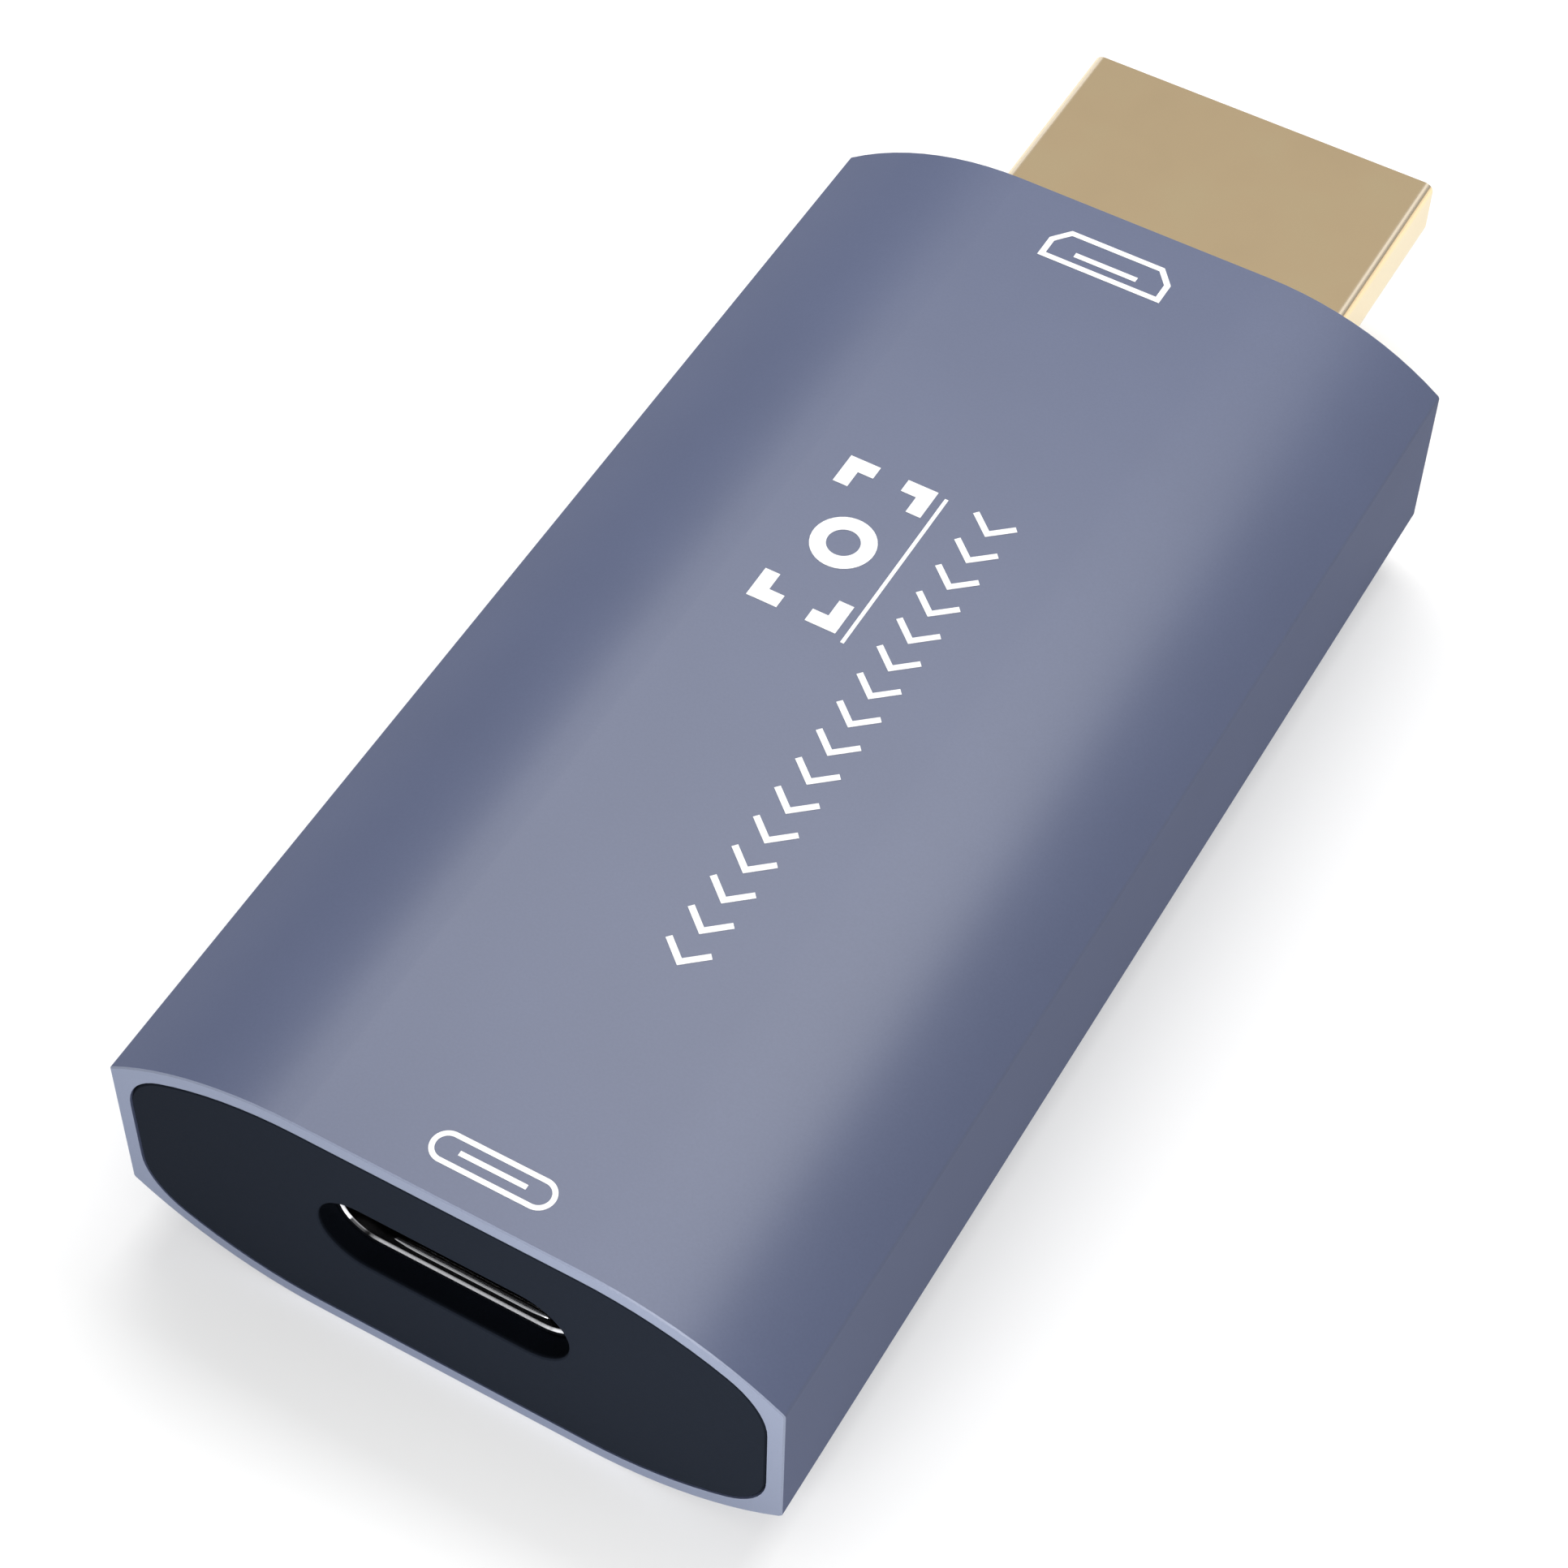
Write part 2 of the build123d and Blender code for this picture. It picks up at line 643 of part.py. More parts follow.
# Data socket insulator: base, neck and tongue, moulded round the mid plate and contacts
with BuildPart() as data_socket_insulator:
    with BuildSketch(across(socket_base_y, socket_z)):
        SlotOverall(
            socket_width - 2 * (socket_wall + socket_fit_clearance),
            socket_height - 2 * (socket_wall + socket_fit_clearance),
        )
    extrude(amount=-socket_base_length)
    with BuildSketch(across(socket_neck_y, socket_z)):
        Rectangle(socket_neck_width, socket_neck_thickness)
    extrude(amount=-socket_neck_length)
    with BuildSketch(across(socket_tongue_tip_y, socket_z)):
        Rectangle(socket_tongue_width, socket_tongue_thickness)
    extrude(amount=-(socket_neck_y - socket_tongue_tip_y))
    tip = data_socket_insulator.faces().sort_by(Axis.Y)[0]
    chamfer(tip.edges().filter_by(Axis.X), length=socket_tongue_edge_chamfer)
    add(data_socket_mid_plate.part, mode=Mode.SUBTRACT)
    add(data_socket_contacts_upper.part, mode=Mode.SUBTRACT)
    add(data_socket_contacts_lower.part, mode=Mode.SUBTRACT)
finish(data_socket_insulator.part, "data_socket_insulator")

# Data socket ground plates: thin sheets on the neck, one above and one below the tongue
with BuildPart() as data_socket_ground_plates:
    with Locations((0, socket_neck_y + socket_neck_length / 2, socket_z)):
        for side in (-1, 1):
            with Locations((0, 0, side * (socket_neck_thickness + socket_ground_plate_thickness) / 2)):
                Box(
                    socket_ground_plate_width,
                    socket_ground_plate_length,
                    socket_ground_plate_thickness,
                )
finish(data_socket_ground_plates.part, "data_socket_ground_plates")

# Data socket shell: a drawn oval tube with four legs that turn down through the board
leg_x = socket_width / 2 + socket_leg_reach
leg_level = socket_leg_board_gap + socket_leg_thickness / 2 - socket_rise_above_board
leg_foot_level = -socket_rise_above_board - board_thickness - socket_leg_length_below_board
leg_places = (socket_front_y + socket_front_leg_setback, socket_front_y + socket_rear_leg_setback)
with BuildPart() as socket_leg:
    with BuildLine(across(0, socket_z)) as leg_line:
        FilletPolyline(
            (socket_width / 2 - socket_wall / 2, leg_level),
            (leg_x, leg_level),
            (leg_x, leg_foot_level),
            radius=socket_leg_bend_radius,
        )
    with BuildSketch(Plane(origin=leg_line.line @ 0, x_dir=(0, 1, 0), z_dir=leg_line.line % 0)):
        Rectangle(socket_leg_width, socket_leg_thickness)
    sweep()

with BuildPart() as data_socket_shell:
    with BuildSketch(across(socket_front_y, socket_z)):
        SlotOverall(socket_width, socket_height)
    extrude(amount=-socket_length)
    with Locations(*[(0, y, 0) for y in leg_places]):
        add(socket_leg.part)
        add(mirror(socket_leg.part, about=Plane.YZ, mode=Mode.PRIVATE))
    with BuildSketch(across(socket_front_y, socket_z)):
        SlotOverall(socket_width - 2 * socket_wall, socket_height - 2 * socket_wall)
    extrude(amount=-socket_length, mode=Mode.SUBTRACT)
    lip = data_socket_shell.faces().sort_by(Axis.Y)[0]
    chamfer(lip.edges(), length=socket_lip_chamfer)
finish(data_socket_shell.part, "data_socket_shell")

# Main board: a laminate with a notch for the socket and holes for the legs and posts
notch_width = socket_width + 2 * socket_board_clearance
with BuildPart() as main_board:
    with BuildSketch(Plane.XY.offset(board_bottom_z)):
        with Locations((0, board_middle_y)):
            RectangleRounded(board_width, board_length, board_corner_radius)
        with Locations((0, (board_front_y - overrun + board_notch_end_y) / 2)):
            Rectangle(notch_width, board_notch_end_y - board_front_y + overrun, mode=Mode.SUBTRACT)
        with Locations(*[(side * leg_x, y) for side in (-1, 1) for y in leg_places]):
            Rectangle(
                socket_leg_thickness + 2 * board_leg_hole_clearance,
                socket_leg_width + 2 * board_leg_hole_clearance,
                mode=Mode.SUBTRACT,
            )
        with Locations(*[(side * plug_fin_middle_x, plug_post_y) for side in (-1, 1)]):
            Rectangle(
                plug_shell_wall + 2 * board_leg_hole_clearance,
                plug_post_width + 2 * board_leg_hole_clearance,
                mode=Mode.SUBTRACT,
            )
    extrude(amount=board_thickness)
finish(main_board.part, "main_board")


# Places on the board: the rows of each column are set out evenly between the two connectors
footprints = {
    "capture_chip": (
        capture_chip_size + 2 * capture_lead_length, capture_chip_size + 2 * capture_lead_length,
    ),
    "memory_chip": (memory_chip_length, memory_chip_width + 2 * memory_lead_length),
    "voltage_regulator": (regulator_length, regulator_width + 2 * regulator_lead_length),
    "crystal": (crystal_length, crystal_width),
    "power_inductor": (inductor_size, inductor_size),
    "surge_array": (surge_array_length, surge_array_width),
    "bulk_capacitor": (bulk_capacitor_length, bulk_capacitor_width),
    "ceramic_capacitor": (ceramic_capacitor_length, ceramic_capacitor_width),
    "resistor": (resistor_length, resistor_width),
    "ferrite_bead": (ferrite_bead_length, ferrite_bead_width),
}
places = {kind: [] for kind in footprints}
under_start_y = parts_start_y + under_start_share * (parts_end_y - parts_start_y)
for rows, start_y, above in (
    (centre_row_shares, parts_start_y, True),
    (left_row_shares, parts_start_y, True),
    (right_row_shares, parts_start_y, True),
    (under_row_shares, under_start_y, False),
):
    row_lengths = [footprints[kind][(turns + 1) % 2] for kind, turns, x_shares in rows]
    for (kind, turns, x_shares), y in zip(rows, spread(start_y, parts_end_y, row_lengths)):
        places[kind] += [on_board(x_share, y, turns, above) for x_share in x_shares]


def moulded_body(length, width, height, band):
    """A chip's body above z = 0, drawn in above and below the flat band that its leads leave."""
    drawn_height = (height - band) / 2
    band_level = chip_standoff + drawn_height
    with BuildPart() as body:
        with BuildSketch(Plane.XY.offset(band_level)):
            Rectangle(length, width)
        extrude(amount=band)
        with BuildSketch(Plane.XY.offset(band_level + band)):
            Rectangle(length, width)
        extrude(amount=drawn_height, taper=chip_body_draft)
        with BuildSketch(Plane.XY.offset(band_level)):
            Rectangle(length, width)
        extrude(amount=-drawn_height, taper=chip_body_draft)
    return body.part


def gull_lead(body_width, body_height, reach, knee, width, thickness):
    """One lead on the +Y side of a body: out of its band to a knee, down, and out to a foot."""
    band_middle = chip_standoff + body_height / 2
    knee_y = body_width / 2 + knee
    path = [
        (body_width / 2, band_middle),
        (knee_y, band_middle),
        (knee_y + knee / 2, thickness / 2),
        (body_width / 2 + reach, thickness / 2),
    ]
    return bent_strip(path, width, thickness)


# Capture chip: a flat pack with leads on all four sides
capture_lead = gull_lead(
    capture_chip_size, capture_chip_height, capture_lead_length,
    capture_lead_knee, capture_lead_width, capture_lead_thickness,
)
with BuildPart() as capture_leads_in_place:
    with PolarLocations(0, 4):
        with Locations(*[(x, 0) for x in columns_of(capture_side_ways, capture_chip_pitch)]):
            add(capture_lead)
with BuildPart() as capture_body_in_place:
    add(moulded_body(
        capture_chip_size, capture_chip_size, capture_chip_height, capture_lead_thickness,
    ))
    mark_place = pin_one_mark_inset - capture_chip_size / 2
    with Locations((mark_place, -mark_place, chip_standoff + capture_chip_height)):
        Cylinder(pin_one_mark_radius, 2 * pin_one_mark_depth, mode=Mode.SUBTRACT)

with BuildPart() as capture_chip_leads:
    with Locations(*places["capture_chip"]):
        add(capture_leads_in_place.part)
finish(capture_chip_leads.part, "capture_chip_leads")

with BuildPart() as capture_chip:
    with Locations(*places["capture_chip"]):
        add(capture_body_in_place.part)
finish(capture_chip.part, "capture_chip")


def lead_rows(lead, columns, far_columns):
    """The same lead in a row on each long side of a chip."""
    with BuildPart() as leads:
        with Locations(*[(x, 0) for x in columns]):
            add(lead)
        with Locations(*[Location((x, 0, 0), (0, 0, 180)) for x in far_columns]):
            add(lead)
    return leads.part


# Memory chip: a small outline chip with four leads on each long side
memory_lead = gull_lead(
    memory_chip_width, memory_chip_height, memory_lead_length,
    memory_lead_knee, memory_lead_width, memory_lead_thickness,
)
memory_columns = columns_of(memory_side_ways, memory_chip_pitch)
with BuildPart() as memory_chip:
    with Locations(*places["memory_chip"]):
        add(moulded_body(
            memory_chip_length, memory_chip_width, memory_chip_height, memory_lead_thickness,
        ))
finish(memory_chip.part, "memory_chip")

with BuildPart() as memory_chip_leads:
    with Locations(*places["memory_chip"]):
        add(lead_rows(memory_lead, memory_columns, memory_columns))
finish(memory_chip_leads.part, "memory_chip_leads")

# Voltage regulators: three leads on one side and two on the other
regulator_lead = gull_lead(
    regulator_width, regulator_height, regulator_lead_length,
    regulator_lead_knee, regulator_lead_width, regulator_lead_thickness,
)
regulator_columns = columns_of(regulator_side_ways, regulator_pitch)
with BuildPart() as voltage_regulators:
    with Locations(*places["voltage_regulator"]):
        add(moulded_body(
            regulator_length, regulator_width, regulator_height, regulator_lead_thickness,
        ))
finish(voltage_regulators.part, "voltage_regulators")

with BuildPart() as voltage_regulator_leads:
    with Locations(*places["voltage_regulator"]):
        add(lead_rows(regulator_lead, regulator_columns, regulator_columns[::2]))
finish(voltage_regulator_leads.part, "voltage_regulator_leads")

# Crystal: a ceramic base closed by a metal lid
with BuildPart() as crystal_base_in_place:
    with BuildSketch():
        RectangleRounded(crystal_length, crystal_width, crystal_corner_radius)
    extrude(amount=crystal_base_height)
with BuildPart() as crystal_lid_in_place:
    with BuildSketch(Plane.XY.offset(crystal_base_height)):
        RectangleRounded(
            crystal_length - 2 * crystal_lid_inset,
            crystal_width - 2 * crystal_lid_inset,
            crystal_corner_radius,
        )
    extrude(amount=crystal_lid_height)

with BuildPart() as crystal_base:
    with Locations(*places["crystal"]):
        add(crystal_base_in_place.part)
finish(crystal_base.part, "crystal_base")

with BuildPart() as crystal_lid:
    with Locations(*places["crystal"]):
        add(crystal_lid_in_place.part)
finish(crystal_lid.part, "crystal_lid")

# Power inductor: a ferrite drum between two flanges, with its winding round the drum
with BuildPart() as inductor_core_in_place:
    for level in (0, inductor_height - inductor_flange_height):
        with BuildSketch(Plane.XY.offset(level)) as flange:
            Rectangle(inductor_size, inductor_size)
            chamfer(flange.vertices(), length=inductor_corner_chamfer)
        extrude(amount=inductor_flange_height)
    with BuildSketch():
        Circle(inductor_core_radius)
    extrude(amount=inductor_height)
with BuildPart() as inductor_winding_in_place:
    with BuildSketch(Plane.XY.offset(inductor_flange_height)):
        Circle(inductor_winding_radius)
        Circle(inductor_core_radius, mode=Mode.SUBTRACT)
    extrude(amount=inductor_height - 2 * inductor_flange_height)

with BuildPart() as power_inductor_core:
    with Locations(*places["power_inductor"]):
        add(inductor_core_in_place.part)
finish(power_inductor_core.part, "power_inductor_core")

with BuildPart() as power_inductor_winding:
    with Locations(*places["power_inductor"]):
        add(inductor_winding_in_place.part)
finish(power_inductor_winding.part, "power_inductor_winding")

# Surge arrays: flat bodies on two rows of pads, one for each group of plug contacts
with BuildPart() as surge_pads_in_place:
    for side in (-1, 1):
        with Locations(*[
            (x, side * (surge_array_width - surge_pad_width) / 2, surge_pad_thickness / 2)
            for x in columns_of(surge_side_ways, surge_pad_pitch)
        ]):
            Box(surge_pad_length, surge_pad_width, surge_pad_thickness)
with BuildPart() as surge_body_in_place:
    with BuildSketch(Plane.XY.offset(surge_pad_thickness)):
        Rectangle(surge_array_length, surge_array_width)
    extrude(amount=surge_array_height)

with BuildPart() as surge_arrays:
    with Locations(*places["surge_array"]):
        add(surge_body_in_place.part)
finish(surge_arrays.part, "surge_arrays")

with BuildPart() as surge_array_pads:
    with Locations(*places["surge_array"]):
        add(surge_pads_in_place.part)
finish(surge_array_pads.part, "surge_array_pads")


def chip_part(length, width, height):
    """The body and the two metal ends of a small two ended part that stands on z = 0."""
    end_length = chip_end_share * length
    with BuildPart() as body:
        with Locations((0, 0, height / 2)):
            Box(length - 2 * end_length, width - 2 * chip_end_plating, height - 2 * chip_end_plating)
    with BuildPart() as ends:
        with Locations((0, 0, height / 2)):
            with GridLocations(length - end_length, 0, 2, 1):
                Box(end_length, width, height)
    return body.part, ends.part


small_parts = {
    "bulk_capacitor": (bulk_capacitor_length, bulk_capacitor_width, bulk_capacitor_height),
    "ceramic_capacitor": (
        ceramic_capacitor_length, ceramic_capacitor_width, ceramic_capacitor_height,
    ),
    "resistor": (resistor_length, resistor_width, resistor_height),
    "ferrite_bead": (ferrite_bead_length, ferrite_bead_width, ferrite_bead_height),
}
for kind, sizes in small_parts.items():
    for piece, ending in zip(chip_part(*sizes), ("bodies", "ends")):
        with BuildPart() as group:
            with Locations(*places[kind]):
                add(piece)
        finish(group.part, f"{kind}_{ending}")
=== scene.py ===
import math

import bmesh
import bpy
from bpy.props import FloatProperty, FloatVectorProperty, IntProperty, PointerProperty
from mathutils import Matrix, Vector


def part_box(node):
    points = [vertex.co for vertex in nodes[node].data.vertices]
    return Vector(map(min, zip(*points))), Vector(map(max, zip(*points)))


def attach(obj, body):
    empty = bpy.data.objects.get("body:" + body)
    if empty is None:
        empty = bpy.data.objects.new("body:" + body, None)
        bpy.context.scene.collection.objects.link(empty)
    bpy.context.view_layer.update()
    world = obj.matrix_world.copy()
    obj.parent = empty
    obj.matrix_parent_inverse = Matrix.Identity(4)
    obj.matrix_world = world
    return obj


bl_info = {
    "name": "Video Capture Stick",
    "version": (1, 0, 0),
    "blender": (4, 5, 0),
    "location": "View3D > Sidebar > Capture Stick",
    "description": "Surfaces, crown marks and studio for a slim video capture stick",
    "category": "Object",
}

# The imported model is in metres: +Y points to the video plug and +Z is up
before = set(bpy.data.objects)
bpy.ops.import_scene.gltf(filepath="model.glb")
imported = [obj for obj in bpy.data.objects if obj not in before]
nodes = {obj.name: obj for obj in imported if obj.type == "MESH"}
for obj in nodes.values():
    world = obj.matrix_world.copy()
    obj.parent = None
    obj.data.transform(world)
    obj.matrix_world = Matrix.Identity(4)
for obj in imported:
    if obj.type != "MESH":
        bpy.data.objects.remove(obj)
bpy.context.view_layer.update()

MM = 0.001
WHITE = (1, 1, 1, 1)

# The camera that was fitted to the photograph, in its pixels
PHOTO_SIDE = 1932
PHOTO_FOCAL = 4724.02

# Stretch of the noise that draws a metal's rolling lines
LINES_ALONG = (1, 0.02, 1)
LINES_UPRIGHT = (1, 1, 0.05)
NO_LINES = (1, 1, 1)

# Colours of the pieces that lie inside the housing and the two connectors
PLUG_PLASTIC = (0.025, 0.025, 0.027)
SOCKET_PLASTIC = (0.02, 0.02, 0.022)
CONTACT_GILT = (0.83, 0.62, 0.28)
SOLDER_MASK = (0.03, 0.12, 0.06)
CHIP_EPOXY = (0.035, 0.035, 0.038)
TIN = (0.70, 0.70, 0.72)
FIRED_CERAMIC = (0.45, 0.33, 0.22)
PRESSED_FERRITE = (0.09, 0.09, 0.10)
ENAMELLED_WIRE = (0.62, 0.30, 0.16)

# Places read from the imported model
sleeve_low, sleeve_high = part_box("housing_sleeve")
crown_z = sleeve_high.z
output_y = sleeve_low.y
input_y = sleeve_high.y
socket_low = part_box("data_socket_shell")[0]
plug_low, plug_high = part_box("video_plug_shell")
plug_middle = ((plug_low.x + plug_high.x) / 2, (input_y + plug_high.y) / 2, plug_high.z)


# Helpers for meshes
def new_object(name, mesh_maker, material):
    """An object at the origin, made from the bmesh that mesh_maker fills."""
    mesh = bpy.data.meshes.new(name)
    bm = bmesh.new()
    mesh_maker(bm)
    bm.to_mesh(mesh)
    bm.free()
    mesh.materials.append(material)
    made = bpy.data.objects.new(name, mesh)
    bpy.context.scene.collection.objects.link(made)
    return made


def new_piece(name, mesh_maker, material):
    """A piece that rides on the stick's one body."""
    piece = new_object(name, mesh_maker, material)
    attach(piece, "root")
    return piece


def paint(material, *node_names):
    """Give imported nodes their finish."""
    for name in node_names:
        slots = nodes[name].data.materials
        slots.clear()
        slots.append(material)


# Helpers for materials
def feed(tree, socket, value):
    """Join a socket to another node's output, or write a plain value on it."""
    if isinstance(value, bpy.types.NodeSocket):
        tree.links.new(value, socket)
    else:
        socket.default_value = value


def add_node(tree, kind, sockets=None):
    """Add a node and feed its named sockets."""
    node = tree.nodes.new(kind)
    for name, value in (sockets or {}).items():
        feed(tree, node.inputs[name], value)
    return node


def join_math(tree, operation, first, second=0.0):
    """The outcome of a sum on two values."""
    node = add_node(tree, "ShaderNodeMath")
    node.operation = operation
    for socket, value in zip(node.inputs, (first, second)):
        feed(tree, socket, value)
    return node.outputs[0]


class Finish:
    """A node material with a Principled shader, and short calls that add and join nodes."""

    # Sockets of a Mix node that mixes colours; its other kinds share their names
    MIX_FIRST, MIX_SECOND, MIX_RESULT = 6, 7, 2

    def __init__(self, name, colour, metallic, roughness):
        self.material = bpy.data.materials.new(name)
        self.material.use_nodes = True
        self.material.diffuse_color = (*colour, 1)
        self.tree = self.material.node_tree
        self.shader = self.tree.nodes["Principled BSDF"]
        self.surface({"Base Color": (*colour, 1), "Metallic": metallic, "Roughness": roughness})

    def surface(self, sockets):
        """Feed named sockets of the shader."""
        for name, value in sockets.items():
            feed(self.tree, self.shader.inputs[name], value)

    def add(self, kind, sockets=None):
        """Add a node and feed its named sockets."""
        return add_node(self.tree, kind, sockets)

    def math(self, operation, first, second=0.0):
        """The outcome of a sum on two values."""
        return join_math(self.tree, operation, first, second)

    def part_of(self, output, axis):
        """One part of the object coordinates or of the object's own normal."""
        coordinates = self.add("ShaderNodeTexCoord")
        split = self.add("ShaderNodeSeparateXYZ", {"Vector": coordinates.outputs[output]})
        return split.outputs[axis]

    def noise(self, size, detail=2.0, stretch=(1, 1, 1)):
        """Noise in object coordinates whose features are about size metres across."""
        coordinates = self.add("ShaderNodeTexCoord")
        place = self.add(
            "ShaderNodeMapping", {"Vector": coordinates.outputs["Object"], "Scale": stretch}
        )
        return self.add(
            "ShaderNodeTexNoise",
            {"Vector": place.outputs[0], "Scale": 1 / size, "Detail": detail},
        ).outputs["Fac"]

    def ramp(self, value, low, high, out_low=0.0, out_high=1.0):
        """A value mapped from low..high to out_low..out_high."""
        return self.add("ShaderNodeMapRange", {
            "Value": value, "From Min": low, "From Max": high,
            "To Min": out_low, "To Max": out_high,
        }).outputs[0]

    def spread(self, noise, out_low=0.0, out_high=1.0):
        """A noise, most of which lies between 0.3 and 0.7, mapped to out_low..out_high."""
        return self.ramp(noise, 0.3, 0.7, out_low, out_high)

    def band(self, value, rise, fall):
        """A mask that rises to one over the first range and falls back over the second."""
        return self.math("MULTIPLY", self.ramp(value, *rise), self.ramp(value, *fall, 1.0, 0.0))

    def mix(self, factor, first, second):
        """A colour mixed from two colours."""
        node = self.add("ShaderNodeMix")
        node.data_type = "RGBA"
        feed(self.tree, node.inputs["Factor"], factor)
        for index, colour in ((self.MIX_FIRST, first), (self.MIX_SECOND, second)):
            if not isinstance(colour, bpy.types.NodeSocket):
                colour = (*colour, 1)
            feed(self.tree, node.inputs[index], colour)
        return node.outputs[self.MIX_RESULT]

    def drift(self, noise, colour, share):
        """A colour that a noise makes darker and lighter by a share."""
        return self.mix(self.spread(noise), shade(colour, 1 - share), shade(colour, 1 + share))

    def bump(self, height, distance, strength):
        """Raise the shader's surface by height times distance."""
        raised = self.add(
            "ShaderNodeBump", {"Height": height, "Distance": distance, "Strength": strength}
        )
        self.surface({"Normal": raised.outputs[0]})


def shade(colour, amount):
    """A colour made lighter or darker by a factor."""
    return tuple(channel * amount for channel in colour)


def anodised_metal(settings):
    """Blasted and dyed aluminium under its clear oxide skin, with the sawn rims left bare."""
    finish = Finish("anodised metal", settings.anodised_colour, metallic=0.7, roughness=0.85)
    cloud = finish.noise(size=5 * MM, detail=3.0)
    blast = finish.noise(size=0.09 * MM)
    cloud_share = 0.6
    tone = finish.math(
        "ADD", finish.math("MULTIPLY", cloud, cloud_share),
        finish.math("MULTIPLY", blast, 1 - cloud_share),
    )
    body_colour = finish.drift(tone, settings.anodised_colour, 0.03)
    facing = finish.math("ABSOLUTE", finish.part_of("Normal", "Y"))
    rim = finish.ramp(facing, low=0.2, high=0.6)
    sawn = finish.ramp(facing, low=0.8, high=0.95, out_high=-0.4)
    finish.surface({
        "Base Color": finish.mix(rim, body_colour, settings.rim_colour),
        "Roughness": finish.math("ADD", finish.spread(blast, 0.82, 0.88), sawn),
        "Specular IOR Level": 0.0,
        "Specular Tint": (*settings.grazing_colour, 1),
        "Coat Weight": 0.17,
        "Coat Roughness": 0.35,
        "Coat IOR": 2.6,
    })
    finish.bump(blast, distance=0.003 * MM, strength=0.4)
    return finish.material


def cap_plastic(settings):
    """Black moulded plastic with a fine matt texture, with painted shade that makes it blacker in
    the slots behind the faces.
    """
    colour = settings.cap_colour
    finish = Finish("cap plastic", colour, metallic=0.0, roughness=0.5)
    grain = finish.noise(size=0.07 * MM, detail=3.0)
    face_colour = finish.mix(grain, shade(colour, 0.85), shade(colour, 1.15))
    # Painted shade: slot walls more than 0.15 mm behind either face darken to a quarter of the cap
    # colour
    painted_slot_shade = shade(colour, 0.25)
    along = finish.part_of("Object", "Y")
    depth = finish.math(
        "MINIMUM", finish.math("SUBTRACT", along, output_y), finish.math("SUBTRACT", input_y, along)
    )
    slot_shade_mask = finish.ramp(depth, low=0.02 * MM, high=0.15 * MM)
    finish.surface({
        "Base Color": finish.mix(slot_shade_mask, face_colour, painted_slot_shade),
        "Roughness": finish.spread(grain, 0.45, 0.6),
        "Specular IOR Level": 0.005,
    })
    finish.bump(grain, distance=0.006 * MM, strength=0.6)
    return finish.material


def plated_sheet(name, colour, roughness, lay, edge_colour=(1, 1, 1), bend_highlight_and_shade=None):
    """Plated sheet metal, with faint rolling lines along lay and a slow drift of tone.

    With a bend colour, its long folded edges get a painted highlight in that lighter colour, and a
    rougher finish, less like a mirror."""
    finish = Finish(name, colour, metallic=1.0, roughness=roughness)
    lines = finish.noise(size=0.05 * MM, stretch=lay)
    cloud = finish.noise(size=3 * MM)
    tone = finish.drift(cloud, colour, 0.02)
    gloss = finish.spread(lines, roughness * 0.93, roughness * 1.07)
    if bend_highlight_and_shade is not None:
        duller = 0.12
        sideways = finish.math("ABSOLUTE", finish.part_of("Normal", "X"))
        bend = finish.band(sideways, rise=(0.05, 0.2), fall=(0.55, 0.7))
        # Painted highlight: the folded edges take the lighter bend colour
        tone = finish.mix(bend, tone, bend_highlight_and_shade)
        gloss = finish.math("ADD", gloss, finish.math("MULTIPLY", bend, duller))
    finish.surface({
        "Base Color": tone, "Roughness": gloss, "Specular Tint": (*edge_colour, 1),
    })
    finish.bump(lines, distance=0.0006 * MM, strength=0.3)
    return finish.material


def drawn_shell(settings):
    """Nickel plated steel, bright on the socket's lip, with painted shade that makes it dark inside
    the mouth and on its left bend.
    """
    steel = settings.steel_colour
    finish = Finish("drawn shell", steel, metallic=1.0, roughness=0.16)
    lines = finish.noise(size=0.05 * MM, stretch=LINES_ALONG)
    # Painted shade: behind the lip the shell darkens to an eighth of the steel colour
    inside = finish.ramp(
        finish.part_of("Object", "Y"),
        low=socket_low.y + 0.04 * MM, high=socket_low.y + 0.10 * MM,
    )
    # Painted shade: the lip's left bend is darkened nearly to black
    bend = finish.band(finish.part_of("Normal", "X"), rise=(0.04, 0.2), fall=(0.52, 0.62))
    bend_highlight_and_shade, inside_shade_colour = shade(steel, 0.02), shade(steel, 0.12)
    lip = finish.mix(bend, settings.lip_colour, bend_highlight_and_shade)
    finish.surface({
        "Base Color": finish.mix(inside, lip, inside_shade_colour),
        "Roughness": finish.spread(lines, 0.14, 0.2),
    })
    return finish.material


def moulding(name, colour, roughness):
    """Fine moulded plastic, epoxy or ceramic."""
    finish = Finish(name, colour, metallic=0.0, roughness=roughness)
    grain = finish.noise(size=0.04 * MM, detail=3.0)
    cloud = finish.noise(size=1.5 * MM)
    uneven = 0.08
    finish.surface({
        "Base Color": finish.drift(cloud, colour, 0.15),
        "Roughness": finish.spread(grain, roughness - uneven, roughness + uneven),
    })
    finish.bump(grain, distance=0.003 * MM, strength=0.5)
    return finish.material


def printed_ink(settings):
    """White pad print, a little uneven and with a soft sheen."""
    finish = Finish("printed ink", settings.ink_colour, metallic=0.0, roughness=0.45)
    grain = finish.noise(size=0.08 * MM, detail=3.0)
    thin = shade(settings.ink_colour, 0.96)
    finish.surface({"Base Color": finish.mix(finish.spread(grain), thin, settings.ink_colour)})
    finish.bump(grain, distance=0.002 * MM, strength=0.5)
    return finish.material


